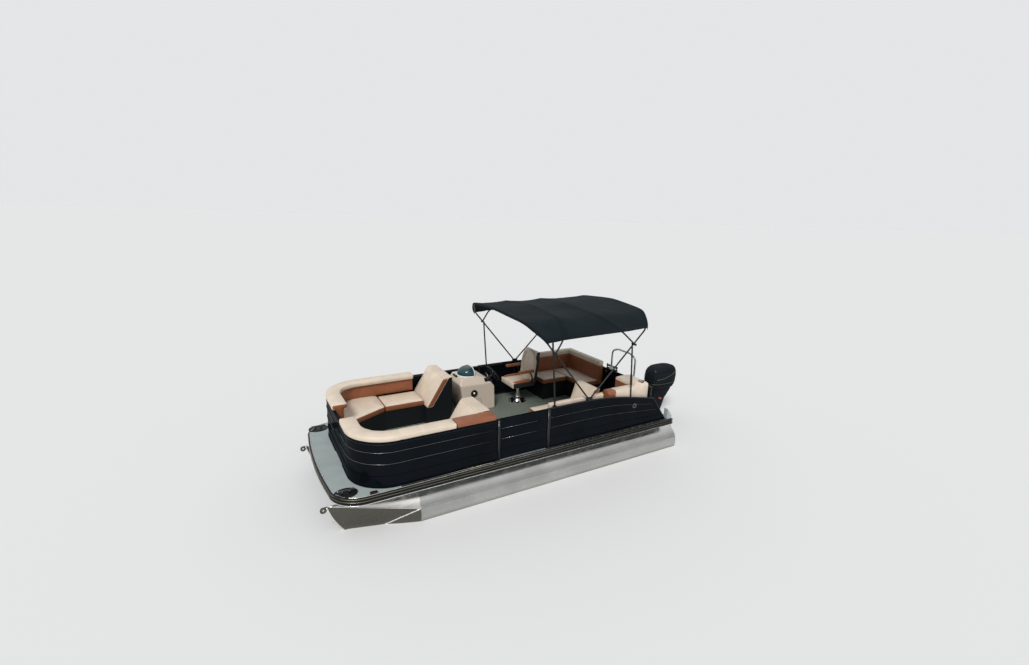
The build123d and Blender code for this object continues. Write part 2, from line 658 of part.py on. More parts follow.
def seat_face(side, front_of=None):
    """Plan of a bow seat in the sketch that is open, as far aft as front_of."""
    edge = [(x, side * y) for x, y in BOW_SEAT_PLANS[side]]
    with BuildLine() as plan:
        Polyline(*edge, (edge[-1][0], side * HALF_B), (LOUNGE_AFT_X, side * HALF_B), close=True)
    make_face(plan.edges())
    fence_face(FRAME_IN + 3, mode=Mode.INTERSECT)
    if front_of is not None:
        window(front_of, FENCE_FRONT, -FENCE_HALF, FENCE_HALF)


def back_profile(tall, foot_x, top_x, mode=Mode.ADD):
    """Side view of the wedge behind a lounge back, from the base's top to the back's top."""
    top = DECK_Z + tall
    with BuildLine() as side_view:
        Polyline((LOUNGE_AFT_X, BASE_TOP), (foot_x, BASE_TOP), (top_x, top), (LOUNGE_AFT_X, top), close=True)
    make_face(side_view.edges(), mode=mode)


def back_slope(side):
    """Foot and top of a lounge back's rear face: the two back faces are parallel."""
    share = (DECK_Z + BACK_TALL[side] - BASE_TOP) / (DECK_Z + LOUNGE_BACK_TALL - BASE_TOP)
    top_x = LOUNGE_BACK_X - BACK_FACE_RUN * share
    return LOUNGE_BACK_X - BACK_TOP_THICK, top_x - BACK_TOP_THICK


def build_bow_base(side):
    foot_x, top_x = back_slope(side)
    with BuildPart() as base:
        with BuildSketch(Plane.XY.offset(FLOOR_Z)):
            seat_face(side)
        extrude(amount=SEAT_BASE_TALL)
        span = side_span(side, BACK_EDGE_Y, BACK_OUTER_Y[side])
        with BuildSketch(Plane.XZ.offset(-span[1])):
            back_profile(BACK_TALL[side], foot_x - SOFT_GAP, top_x - SOFT_GAP)
        extrude(amount=span[1] - span[0])
        well = side_span(side, SEAT_EDGE_Y + BASE_WALL, WELL_EDGE_Y)
        box(
            LOUNGE_BACK_X + BASE_WALL, BOW_LID_FRONT_X[side] - BASE_WALL, *well,
            FLOOR_Z + BASE_WALL, BASE_TOP, mode=Mode.SUBTRACT,
        )
    return base


def build_bow_lid(side):
    span = side_span(side, SEAT_EDGE_Y, LID_EDGE_Y)
    with BuildPart() as lid:
        box(LOUNGE_BACK_X + LID_GAP, BOW_LID_FRONT_X[side] - LID_GAP, *span, SEAT_Z, SEAT_TOP)
    return lid


def build_bow_seat(side):
    with BuildPart() as seat:
        with BuildSketch(Plane.XY.offset(SEAT_Z)):
            seat_face(side, front_of=BOW_LID_FRONT_X[side])
        extrude(amount=CUSHION_THICK)
    return seat


def build_bow_back(side):
    foot_x, top_x = back_slope(side)
    top = DECK_Z + BACK_TALL[side]
    span = side_span(side, BACK_EDGE_Y, BACK_OUTER_Y[side])
    with BuildPart() as back:
        with BuildSketch(Plane.XZ.offset(-span[1])):
            with BuildLine():
                Polyline(
                    (LOUNGE_BACK_X, SEAT_Z), (top_x + BACK_TOP_THICK, top), (top_x, top),
                    (foot_x, SEAT_Z), close=True,
                )
            make_face()
        extrude(amount=span[1] - span[0])
    return back


def build_bow_bolster(side, aft_x):
    """The fence-top bolster and the back pad under it, round the bow corner."""
    low = SEAT_TOP + SOFT_GAP
    x0, x1, y0, y1 = bow_window(side)
    with BuildPart() as bolster:
        with BuildSketch(Plane.XY.offset(low)):
            fence_band(FRAME_IN + 3, FRAME_IN + PAD_THICK, aft_x, x1, y0, y1)
        extrude(amount=FENCE_TOP + SOFT_GAP - low)
        with BuildSketch(Plane.XY.offset(FENCE_TOP + SOFT_GAP)):
            fence_band(-BOLSTER_PROUD, BOLSTER_WIDTH - BOLSTER_PROUD, aft_x, x1, y0, y1)
        extrude(amount=BOLSTER_THICK)
    return bolster


bow_base_port = build_bow_base(1)
save(bow_base_port, "bow_base_port")
bow_base_starboard = build_bow_base(-1)
save(bow_base_starboard, "bow_base_starboard")
bow_lid_port = build_bow_lid(1)
save(bow_lid_port, "bow_lid_port")
bow_lid_starboard = build_bow_lid(-1)
save(bow_lid_starboard, "bow_lid_starboard")
with BuildPart() as bow_seats:
    for side in (-1, 1):
        add(build_bow_seat(side).part)
save(bow_seats, "bow_seats")
with BuildPart() as bow_backs:
    for side in (-1, 1):
        add(build_bow_back(side).part)
save(bow_backs, "bow_backs")
bow_bolster_port = build_bow_bolster(1, BOLSTER_PORT_X)
save(bow_bolster_port, "bow_bolster_port")
bow_bolster_starboard = build_bow_bolster(-1, BOLSTER_STBD_X)
save(bow_bolster_starboard, "bow_bolster_starboard")

BOLSTER_SEAM_X = 1070
BOLSTER_END_SPANS = [(LOUNGE_AFT_X, BOLSTER_SEAM_X - 1), (BOLSTER_SEAM_X + 1, BOLSTER_PORT_X - 3)]
BOLSTER_INNER_Y = FENCE_HALF + BOLSTER_PROUD - BOLSTER_WIDTH
with BuildPart() as bolster_end_port:
    for x0, x1 in BOLSTER_END_SPANS:
        box(
            x0, x1, BOLSTER_INNER_Y, FENCE_HALF + BOLSTER_PROUD,
            FENCE_TOP + SOFT_GAP, FENCE_TOP + BOLSTER_THICK,
        )
        box(
            x0, x1, FENCE_HALF - FRAME_IN - PAD_THICK, FENCE_HALF - FRAME_IN - 3,
            SEAT_TOP + SOFT_GAP, FENCE_TOP + SOFT_GAP,
        )
save(bolster_end_port, "bolster_end_port")

# Aft port lounge: chaise seat, its back, and the raised stern pad behind it
CHAISE_BACK_X = -1150
CHAISE_BACK_TOP_X = -1290
SIDE_PAD_TALL = 700
PAD_BASE_TALL = 400
with BuildPart() as aft_base_port:
    box(STERN_PAD_X, AFT_LOUNGE_X, SEAT_EDGE_Y, SIDE_Y, FLOOR_Z, BASE_TOP)
    box(
        CHAISE_BACK_X + BASE_WALL, AFT_LOUNGE_X - BASE_WALL, SEAT_EDGE_Y + BASE_WALL, WELL_EDGE_Y,
        FLOOR_Z + BASE_WALL, BASE_TOP, mode=Mode.SUBTRACT,
    )
    box(STERN_FENCE_X + FRAME_TUBE, STERN_PAD_X, GATE_HIGH_Y + 35, SIDE_Y, FLOOR_Z, DECK_Z + PAD_BASE_TALL)
save(aft_base_port, "aft_base_port")

with BuildPart() as aft_lid_port:
    box(CHAISE_BACK_X + LID_GAP, AFT_LOUNGE_X, SEAT_EDGE_Y, LID_EDGE_Y, SEAT_Z, SEAT_TOP)
save(aft_lid_port, "aft_lid_port")

with BuildPart() as aft_back_port:
    with BuildSketch(Plane.XZ.offset(-LID_EDGE_Y)):
        with BuildLine():
            Polyline(
                (CHAISE_BACK_X, SEAT_Z), (CHAISE_BACK_TOP_X, DECK_Z + STERN_PAD_TALL),
                (STERN_PAD_X + 3, DECK_Z + STERN_PAD_TALL), (STERN_PAD_X + 3, SEAT_Z), close=True,
            )
        make_face()
    extrude(amount=LID_EDGE_Y - SEAT_EDGE_Y)
save(aft_back_port, "aft_back_port")

with BuildPart() as aft_side_pad_port:
    box(STERN_PAD_X + 3, AFT_LOUNGE_X, LID_EDGE_Y + 13, SIDE_Y, SEAT_Z, DECK_Z + SIDE_PAD_TALL)
save(aft_side_pad_port, "aft_side_pad_port")

# The stern pad is three cushions: a block against the stern fence, a side bolster and a seat
PAD_LOW_Z = DECK_Z + PAD_BASE_TALL + SOFT_GAP
BLOCK_FRONT_X = STERN_FENCE_X + FRAME_TUBE + STERN_BLOCK_DEPTH
BOLSTER_IN_Y = SIDE_Y - STERN_BOLSTER_THICK
with BuildPart() as stern_block:
    box(
        STERN_FENCE_X + FRAME_TUBE, BLOCK_FRONT_X, GATE_HIGH_Y + 35, SIDE_Y,
        PAD_LOW_Z, DECK_Z + STERN_PAD_TALL,
    )
    fillet(stern_block.faces().sort_by(Axis.Z)[-1].edges(), radius=50)
with BuildPart() as stern_bolster:
    box(
        BLOCK_FRONT_X + SOFT_GAP, STERN_PAD_X - STERN_BOLSTER_SETBACK, BOLSTER_IN_Y, SIDE_Y,
        PAD_LOW_Z, DECK_Z + STERN_BOLSTER_TALL,
    )
    fillet(stern_bolster.edges().filter_by(Axis.X).group_by(Axis.Z)[-1], radius=60)
with BuildPart() as stern_pad_port:
    add(stern_block)
    add(stern_bolster)
    box(
        BLOCK_FRONT_X + SOFT_GAP, STERN_PAD_X, GATE_HIGH_Y + 35, BOLSTER_IN_Y - SOFT_GAP,
        PAD_LOW_Z, DECK_Z + PAD_BASE_TALL + STERN_SEAT_THICK,
    )
save(stern_pad_port, "stern_pad_port")

# Aft starboard lounge: an L along the side and the stern
STERN_SEAT_X = STERN_FENCE_X + STERN_SEAT_DEPTH
STERN_BACK_X = STERN_FENCE_X + FRAME_TUBE + 130
SIDE_BACK_Y = SIDE_Y - 110
AFT_BACK_TALL = 800
with BuildPart() as aft_base_starboard:
    box(STERN_FENCE_X + FRAME_TUBE, AFT_STBD_X, -SIDE_Y, -SEAT_EDGE_Y, FLOOR_Z, BASE_TOP)
    box(STERN_FENCE_X + FRAME_TUBE, STERN_SEAT_X, -SEAT_EDGE_Y, STERN_SEAT_END_Y, FLOOR_Z, BASE_TOP)
    box(
        STERN_SEAT_X + BASE_WALL, AFT_STBD_X - BASE_WALL, -WELL_EDGE_Y, -SEAT_EDGE_Y - BASE_WALL,
        FLOOR_Z + BASE_WALL, BASE_TOP, mode=Mode.SUBTRACT,
    )
save(aft_base_starboard, "aft_base_starboard")

with BuildPart() as aft_lid_starboard:
    box(STERN_SEAT_X + LID_GAP, AFT_STBD_X, -SIDE_BACK_Y + 12, -SEAT_EDGE_Y, SEAT_Z, SEAT_TOP)
save(aft_lid_starboard, "aft_lid_starboard")

with BuildPart() as aft_seat_starboard:
    box(STERN_BACK_X + SOFT_GAP, STERN_SEAT_X, -SIDE_BACK_Y + 12, STERN_SEAT_END_Y, SEAT_Z, SEAT_TOP)
save(aft_seat_starboard, "aft_seat_starboard")

with BuildPart() as aft_back_starboard:
    box(STERN_FENCE_X + FRAME_TUBE, AFT_STBD_X, -SIDE_Y, -SIDE_BACK_Y, SEAT_Z, DECK_Z + AFT_BACK_TALL)
    box(
        STERN_FENCE_X + FRAME_TUBE, STERN_BACK_X, -SIDE_BACK_Y, STERN_SEAT_END_Y,
        SEAT_Z, DECK_Z + AFT_BACK_TALL,
    )
save(aft_back_starboard, "aft_back_starboard")

# Helm console, windscreen, dash, speaker and wheel
CONSOLE_TOP = DECK_Z + CONSOLE_TALL
WHEEL_Y = -SIDE_Y + 350
DASH_X = -235
DASH_Z = 1115
WHEEL_REACH = 150
SHAFT_R = 16
DASH_PROUD = 8
DASH_SUNK = 12
with BuildPart() as console:
    with BuildSketch(Plane.XZ.offset(CONSOLE_EDGE_Y)):
        with BuildLine():
            Polyline(
                (CONSOLE_FRONT_X - 90, FLOOR_Z), (CONSOLE_FRONT_X, CONSOLE_TOP - 100),
                (CONSOLE_FRONT_X - 70, CONSOLE_TOP), (20, CONSOLE_TOP), (-160, CONSOLE_TOP - 40),
                (-290, CONSOLE_TOP - 200), (CONSOLE_AFT_X, FLOOR_Z), close=True,
            )
        make_face()
    extrude(amount=SIDE_Y - CONSOLE_EDGE_Y)
    top_edge = console.edges().filter_by(GeomType.LINE).group_by(Axis.Y)[-1].group_by(Axis.Z)[-1]
    chamfer(top_edge, length=90, length2=120)
save(console, "console")

SCREEN_X = 150
SCREEN_LENGTH = 330
SCREEN_WIDTH = SIDE_Y - CONSOLE_EDGE_Y - 160
SCREEN_Y = -(SIDE_Y - 50 - SCREEN_WIDTH / 2)
with BuildPart() as windscreen:
    with BuildSketch(Plane.XY.offset(CONSOLE_TOP)):
        with Locations((SCREEN_X, SCREEN_Y)):
            RectangleRounded(SCREEN_LENGTH, SCREEN_WIDTH, 120)
    extrude(amount=SCREEN_TALL, taper=20)
    with BuildSketch(Plane.XY.offset(CONSOLE_TOP)):
        with Locations((SCREEN_X, SCREEN_Y)):
            RectangleRounded(SCREEN_LENGTH - 2 * SCREEN_THICK, SCREEN_WIDTH - 2 * SCREEN_THICK, 115)
    extrude(amount=SCREEN_TALL, taper=20, mode=Mode.SUBTRACT)
    box(
        SCREEN_X - SCREEN_LENGTH, SCREEN_X - 60, SCREEN_Y - SCREEN_WIDTH, SCREEN_Y + SCREEN_WIDTH,
        CONSOLE_TOP, CONSOLE_TOP + SCREEN_TALL, mode=Mode.SUBTRACT,
    )
save(windscreen, "windscreen")

SPEAKER_X = 130
SPEAKER_Z = 960
with BuildPart() as speaker:
    with BuildSketch(Plane.XZ.offset(CONSOLE_EDGE_Y)):
        with Locations((SPEAKER_X, SPEAKER_Z)):
            Circle(58)
    extrude(amount=-14)
save(speaker, "speaker")

wheel_axis = Vector(-cos(radians(WHEEL_TILT)), 0, sin(radians(WHEEL_TILT)))
dash_point = Vector(DASH_X, WHEEL_Y, DASH_Z) + wheel_axis * DASH_SUNK
wheel_plane = Plane(origin=dash_point + wheel_axis * WHEEL_REACH, x_dir=(0, 1, 0), z_dir=wheel_axis)
with BuildPart() as helm_wheel:
    with BuildSketch(Plane(origin=wheel_plane.origin, x_dir=(0, 1, 0), z_dir=wheel_plane.y_dir)):
        with Locations((WHEEL_D / 2 - WHEEL_GRIP / 2, 0)):
            Circle(WHEEL_GRIP / 2)
    revolve(axis=Axis(wheel_plane.origin, wheel_plane.z_dir))
    with BuildSketch(wheel_plane.offset(-6)):
        Circle(42)
        with PolarLocations(WHEEL_D / 4 - 6, 3, start_angle=90):
            Rectangle(WHEEL_D / 2 - 24, 30)
    extrude(amount=12)
    with BuildSketch(wheel_plane.offset(-WHEEL_REACH + DASH_PROUD + SOFT_GAP)):
        Circle(SHAFT_R)
    extrude(amount=WHEEL_REACH - DASH_PROUD - SOFT_GAP)
save(helm_wheel, "helm_wheel")

with BuildPart() as dash:
    with BuildSketch(Plane(origin=dash_point - wheel_axis * DASH_SUNK, x_dir=(0, 1, 0), z_dir=wheel_axis)):
        RectangleRounded(300, 110, 30)
    extrude(amount=DASH_SUNK + DASH_PROUD)
    add(console.part, mode=Mode.SUBTRACT)
save(dash, "dash")

# Helm chair on its pedestal
POST_R = 42
SWIVEL_Z = 930
with BuildPart() as chair_pedestal:
    with BuildSketch(Plane.XY.offset(FLOOR_Z)):
        with Locations((CHAIR_X, CHAIR_Y)):
            Circle(170)
    extrude(amount=14)
    with BuildSketch(Plane.XY.offset(FLOOR_Z)):
        with Locations((CHAIR_X, CHAIR_Y)):
            Circle(POST_R)
    extrude(amount=SWIVEL_Z - FLOOR_Z)
save(chair_pedestal, "chair_pedestal")

CHAIR_HALF = CHAIR_SEAT / 2
CHAIR_BACK_TALL = 540
with BuildPart() as helm_chair:
    box(
        CHAIR_X - 130, CHAIR_X + 130, CHAIR_Y - 130, CHAIR_Y + 130,
        SWIVEL_Z + SOFT_GAP, CHAIR_SEAT_Z - 110,
    )
    box(
        CHAIR_X - CHAIR_HALF, CHAIR_X + CHAIR_HALF, CHAIR_Y - CHAIR_HALF, CHAIR_Y + CHAIR_HALF,
        CHAIR_SEAT_Z - 110, CHAIR_SEAT_Z,
    )
    with BuildSketch(Plane.XZ.offset(-(CHAIR_Y + CHAIR_HALF - 15))):
        with BuildLine():
            Polyline(
                (CHAIR_X - CHAIR_HALF + 70, CHAIR_SEAT_Z - 60),
                (CHAIR_X - CHAIR_HALF - 30, CHAIR_SEAT_Z + CHAIR_BACK_TALL),
                (CHAIR_X - CHAIR_HALF - 120, CHAIR_SEAT_Z + CHAIR_BACK_TALL),
                (CHAIR_X - CHAIR_HALF - 50, CHAIR_SEAT_Z - 60),
                close=True,
            )
        make_face()
    extrude(amount=2 * CHAIR_HALF - 30)
save(helm_chair, "helm_chair")

# Bimini: hoops in tilted planes, pinned at the fence and at the knees
HOOP_R = BOW_TUBE / 2
EYE_R = 16
EYE_HALF = 10
PIN_R = 5
BIMINI_PIN_Z = FENCE_TOP + 34
PIN_APART = 24
INNER_HALF = BIMINI_HALF + 28
LEG_Y = BIMINI_HALF - 28
HOOP_SHOULDER = 0.7
HOOP_SHOULDER_DROP = 60
HOOP_SIDE_DROP = 40
CANOPY_CLEAR = 21
CANOPY_HALF = INNER_HALF + HOOP_R + CANOPY_CLEAR


def hoop_plane(start, toward):
    run = Vector(toward[0] - start[0], 0, toward[1] - start[1]).normalized()
    return Plane(origin=(start[0], 0, start[1]), x_dir=(0, 1, 0), z_dir=Vector(0, 1, 0).cross(run)), run.Z


def hoop_points(start_z, rise, half, lift):
    """Half of a hoop in its own plane: side, shoulder and crown, lifted off the tube's line."""
    side_h = (CANOPY_SIDE_Z - HOOP_SIDE_DROP + lift - start_z) / rise
    crown = CANOPY_SIDE_Z + CANOPY_CROWN + lift
    shoulder_h = (crown - HOOP_SHOULDER_DROP - start_z) / rise
    return (half, side_h), (half * HOOP_SHOULDER, shoulder_h), (0, (crown - start_z) / rise)


def build_hoop(start, toward, half, knee=None):
    plane, rise = hoop_plane(start, toward)
    side_point, shoulder, crown = hoop_points(start[1], rise, half, 0)
    with BuildPart() as hoop:
        with BuildLine(plane) as path:
            FilletPolyline(
                (-half, PIN_R), (-side_point[0], side_point[1]), (-shoulder[0], shoulder[1]), crown,
                shoulder, side_point, (half, PIN_R), radius=150,
            )
        with BuildSketch(Plane(origin=path.line @ 0, z_dir=path.line % 0)):
            Circle(HOOP_R)
        sweep(path=path.line)
        for end in (-1, 1):
            with BuildSketch(Plane.XZ.offset(-end * half - EYE_HALF)):
                with Locations(start):
                    Circle(EYE_R)
            extrude(amount=2 * EYE_HALF)
            with BuildSketch(Plane.XZ.offset(-end * half - 2 * HOOP_R)):
                with Locations(start):
                    Circle(PIN_R + PIN_FREE)
            extrude(amount=4 * HOOP_R, mode=Mode.SUBTRACT)
            if knee:
                with BuildSketch(Plane.XZ.offset(-end * half - 42)):
                    with Locations(knee):
                        Circle(PIN_R)
                extrude(amount=84)
    return hoop


def build_leg(knee, foot_x, foot_z):
    """A pair of straight legs from the knee pins to sockets on the fence."""
    with BuildPart() as legs:
        for side in (-1, 1):
            top = Vector(knee[0], side * LEG_Y, knee[1])
            foot = Vector(foot_x, side * LEG_Y, foot_z)
            with BuildSketch(Plane(origin=foot, z_dir=top - foot)):
                Circle(HOOP_R)
            extrude(amount=(top - foot).length - PIN_R)
            with BuildSketch(Plane.XZ.offset(-side * LEG_Y - EYE_HALF)):
                with Locations(knee):
                    Circle(EYE_R)
            extrude(amount=2 * EYE_HALF)
            with BuildSketch(Plane.XZ.offset(-side * LEG_Y - 2 * HOOP_R)):
                with Locations(knee):
                    Circle(PIN_R + PIN_FREE)
            extrude(amount=4 * HOOP_R, mode=Mode.SUBTRACT)
    return legs


FRONT_BASE = (BIMINI_BASE_X + PIN_APART, BIMINI_PIN_Z)
REAR_BASE = (BIMINI_BASE_X - PIN_APART, BIMINI_PIN_Z)
FRONT_FOOT_Z = FENCE_TOP + 12
REAR_FOOT_Z = DECK_Z + AFT_MID_TALL - 20
with BuildPart() as bimini_rear_frame:
    add(build_hoop(REAR_BASE, REAR_KNEE, BIMINI_HALF, REAR_KNEE).part)
    add(build_leg(REAR_KNEE, REAR_FOOT_X, REAR_FOOT_Z).part)
save(bimini_rear_frame, "bimini_rear_frame")
bimini_front_bow = build_hoop(FRONT_BASE, FRONT_KNEE, BIMINI_HALF, FRONT_KNEE)
save(bimini_front_bow, "bimini_front_bow")
bimini_front_inner = build_hoop(FRONT_KNEE, (FRONT_INNER_X, CANOPY_SIDE_Z), INNER_HALF)
save(bimini_front_inner, "bimini_front_inner")
bimini_rear_inner = build_hoop(REAR_KNEE, (REAR_INNER_X, CANOPY_SIDE_Z), INNER_HALF)
save(bimini_rear_inner, "bimini_rear_inner")
bimini_front_legs = build_leg(FRONT_KNEE, FRONT_FOOT_X, FRONT_FOOT_Z)
save(bimini_front_legs, "bimini_front_legs")

EAR_THICK = 4
FOOT_DROP = 1.6
EAR_GAP = 2
with BuildPart() as bimini_brackets:
    for side in (-1, 1):
        centre = side * BIMINI_HALF
        inner = HOOP_R + EAR_GAP
        span = (centre - inner - EAR_THICK, centre + inner + EAR_THICK)
        box(BIMINI_BASE_X - 60, BIMINI_BASE_X + 60, *span, FENCE_TOP, FENCE_TOP + 6)
        for ear in (centre - inner - EAR_THICK, centre + inner):
            box(BIMINI_BASE_X - 50, BIMINI_BASE_X + 50, ear, ear + EAR_THICK, FENCE_TOP, BIMINI_PIN_Z + 14)
        for x in (FRONT_BASE[0], REAR_BASE[0]):
            with BuildSketch(Plane.XZ.offset(-span[1])):
                with Locations((x, BIMINI_PIN_Z)):
                    Circle(PIN_R)
            extrude(amount=span[1] - span[0])
        foot = side_span(side, LEG_Y - 16, FENCE_HALF - SKIN_THICK)
        box(FRONT_FOOT_X - 30, FRONT_FOOT_X + 30, *foot, FENCE_TOP, FRONT_FOOT_Z - FOOT_DROP)
        foot = side_span(side, LEG_Y - 16, FENCE_HALF - FRAME_IN)
        box(REAR_FOOT_X - 30, REAR_FOOT_X + 30, *foot, REAR_FOOT_Z - 40, REAR_FOOT_Z - FOOT_DROP)
save(bimini_brackets, "bimini_brackets")

CANOPY_LIFT = HOOP_R + 2 * SOFT_GAP
HOOPS = [
    # start of the hoop's line, where the line points to
    (FRONT_BASE, FRONT_KNEE),
    (FRONT_KNEE, (FRONT_INNER_X, CANOPY_SIDE_Z)),
    (REAR_KNEE, (REAR_INNER_X, CANOPY_SIDE_Z)),
    (REAR_BASE, REAR_KNEE),
]
with BuildPart() as canopy:
    for start, toward in HOOPS:
        plane, rise = hoop_plane(start, toward)
        outer = hoop_points(start[1], rise, CANOPY_HALF, CANOPY_LIFT + CANOPY_THICK)
        inner = hoop_points(start[1], rise, CANOPY_HALF - CANOPY_THICK, CANOPY_LIFT)
        hem = 50 / rise
        half_outer = [(outer[0][0], outer[0][1] - hem), outer[0], outer[1], outer[2]]
        half_inner = [(inner[0][0], outer[0][1] - hem), inner[0], inner[1], inner[2]]
        with BuildSketch(plane):
            with BuildLine():
                Polyline(
                    *half_outer, *[(-y, h) for y, h in half_outer[2::-1]],
                    *[(-y, h) for y, h in half_inner[:3]], *half_inner[::-1], close=True,
                )
            make_face()
    loft(ruled=True)
save(canopy, "canopy")

# Tow bar round the outboard, and the stern ladder
TOW_X = -HALF_L + 75
TOW_HALF = 330
TOW_TOP = 1555
TOW_R = 19
with BuildPart() as tow_bar:
    with BuildLine(Plane.YZ.offset(TOW_X)) as hoop_line:
        FilletPolyline(
            (-TOW_HALF, DECK_Z), (-TOW_HALF, TOW_TOP - 60), (-TOW_HALF / 2, TOW_TOP),
            (TOW_HALF / 2, TOW_TOP), (TOW_HALF, TOW_TOP - 60), (TOW_HALF, DECK_Z), radius=110,
        )
    with BuildSketch(Plane(origin=hoop_line.line @ 0, z_dir=hoop_line.line % 0)):
        Circle(TOW_R)
    sweep(path=hoop_line.line)
    for side in (-1, 1):
        foot = Vector(TOW_X + 300, side * TOW_HALF, DECK_Z)
        top = Vector(TOW_X, side * TOW_HALF, DECK_Z + 560)
        with BuildSketch(Plane(origin=foot, z_dir=top - foot)):
            Circle(12)
        extrude(amount=(top - foot).length)
        for x in (TOW_X, TOW_X + 300):
            with BuildSketch(Plane.XY.offset(DECK_Z)):
                with Locations((x, side * TOW_HALF)):
                    Circle(34)
            extrude(amount=8)
    split(bisect_by=Plane.XY.offset(DECK_Z), keep=Keep.TOP)
save(tow_bar, "tow_bar")

LADDER_Y = -458
LADDER_HALF = 145
LADDER_X = -HALF_L - 60
LADDER_PIN_Z = 628
LADDER_LENGTH = 490
LADDER_STEPS = 4
LADDER_PITCH = 62
with BuildPart() as ladder:
    for y in (LADDER_Y - LADDER_HALF, LADDER_Y + LADDER_HALF):
        with BuildSketch(Plane.XY.offset(LADDER_PIN_Z + PIN_R)):
            with Locations((LADDER_X, y)):
                Circle(13)
        extrude(amount=LADDER_LENGTH - PIN_R)
        with BuildSketch(Plane.XZ.offset(-y - EYE_HALF)):
            with Locations((LADDER_X, LADDER_PIN_Z)):
                Circle(EYE_R)
        extrude(amount=2 * EYE_HALF)
        with BuildSketch(Plane.XZ.offset(-y - EYE_R)):
            with Locations((LADDER_X, LADDER_PIN_Z)):
                Circle(PIN_R + PIN_FREE)
        extrude(amount=2 * EYE_R, mode=Mode.SUBTRACT)
    for step in range(LADDER_STEPS):
        z = LADDER_PIN_Z + LADDER_LENGTH - 30 - step * LADDER_PITCH
        box(LADDER_X - 30, LADDER_X + 26, LADDER_Y - LADDER_HALF, LADDER_Y + LADDER_HALF, z - 12, z + 12)
save(ladder, "ladder")

with BuildPart() as ladder_bracket:
    for y in (LADDER_Y - LADDER_HALF, LADDER_Y + LADDER_HALF):
        box(-HALF_L, LADDER_X + 20, y - 21, y + 21, DECK_Z, DECK_Z + 8)
        for ear in (y - 21, y + 15):
            box(-HALF_L - 10, LADDER_X - 14, ear, ear + 6, DECK_Z, LADDER_PIN_Z + 14)
        with BuildSketch(Plane.XZ.offset(-y - 21)):
            with Locations((LADDER_X, LADDER_PIN_Z)):
                Circle(PIN_R)
        extrude(amount=42)
        box(-HALF_L, -HALF_L + 28, y - 21, y + 21, DECK_Z, DECK_Z + 8)
save(ladder_bracket, "ladder_bracket")

with BuildPart() as nav_lights:
    for side in (-1, 1):
        span = side_span(side, FENCE_HALF + 8, DECK_HALF - 4)
        box(HALF_L - 590, HALF_L - 500, *span, DECK_Z, DECK_Z + 34)
save(nav_lights, "nav_lights")

# Outboard: clamp bracket, swivel bracket, cowl over a plain powerhead block, leg and propeller
CLAMP_TOP = TILT_Z + 28
CLAMP_FOOT_Z = 160
CLAMP_WAIST_Z = 440
CLAMP_HOOK_Z = 400
CLAMP_GRIP = 62
CLAMP_HOOK = 16
EAR_IN = 78
EAR_OUT = 112
SWIVEL_R = 46
KINGPIN_R = 14
SWIVEL_LOW = 120
SWIVEL_HIGH = 500
with BuildPart() as clamp_bracket:
    for side in (-1, 1):
        span = side_span(side, EAR_IN, EAR_OUT)
        with BuildSketch(Plane.XZ.offset(-span[1])):
            with BuildLine():
                Polyline(
                    (TRANSOM_X, CLAMP_FOOT_Z), (TRANSOM_X, POD_TOP_Z + 10),
                    (TRANSOM_X + CLAMP_GRIP, POD_TOP_Z + 10), (TRANSOM_X + CLAMP_GRIP, CLAMP_HOOK_Z),
                    (TRANSOM_X + CLAMP_GRIP + CLAMP_HOOK, CLAMP_HOOK_Z),
                    (TRANSOM_X + CLAMP_GRIP + CLAMP_HOOK, CLAMP_TOP), (TILT_X - 28, CLAMP_TOP),
                    (TILT_X - 28, TILT_Z - 40), (TRANSOM_X - 45, CLAMP_WAIST_Z),
                    (TRANSOM_X - 30, CLAMP_FOOT_Z), close=True,
                )
            make_face()
        extrude(amount=span[1] - span[0])
    with BuildSketch(Plane.XZ.offset(-EAR_OUT - 20)):
        with Locations((TILT_X, TILT_Z)):
            Circle(16)
    extrude(amount=2 * EAR_OUT + 40)
save(clamp_bracket, "clamp_bracket")

with BuildPart() as swivel_bracket:
    with BuildSketch(Plane.XZ.offset(-EAR_IN + 5)):
        with Locations((TILT_X, TILT_Z)):
            Circle(28)
        with BuildLine():
            Polyline(
                (TILT_X + 10, TILT_Z), (TILT_X - 28, TILT_Z), (TILT_X - 28, SWIVEL_HIGH),
                (STEER_X, SWIVEL_HIGH), (STEER_X, SWIVEL_LOW), (TILT_X + 10, SWIVEL_LOW + 60), close=True,
            )
        make_face()
    extrude(amount=2 * EAR_IN - 10)
    with BuildSketch(Plane.XY.offset(SWIVEL_LOW)):
        with Locations((STEER_X, 0)):
            Circle(SWIVEL_R)
    extrude(amount=SWIVEL_HIGH - SWIVEL_LOW)
    box(STEER_X - 20, STEER_X + 60, SWIVEL_R, EAR_IN, SWIVEL_LOW, SWIVEL_HIGH + 30, mode=Mode.SUBTRACT)
    box(STEER_X - 20, STEER_X + 60, -EAR_IN, -SWIVEL_R, SWIVEL_LOW, SWIVEL_HIGH + 30, mode=Mode.SUBTRACT)
    with BuildSketch(Plane.XZ.offset(-EAR_IN)):
        with Locations((TILT_X, TILT_Z)):
            Circle(16 + PIN_FREE)
    extrude(amount=2 * EAR_IN, mode=Mode.SUBTRACT)
    with BuildSketch(Plane.XY.offset(SWIVEL_LOW)):
        with Locations((STEER_X, 0)):
            Circle(KINGPIN_R + PIN_FREE)
    extrude(amount=SWIVEL_HIGH - SWIVEL_LOW, mode=Mode.SUBTRACT)
save(swivel_bracket, "swivel_bracket")

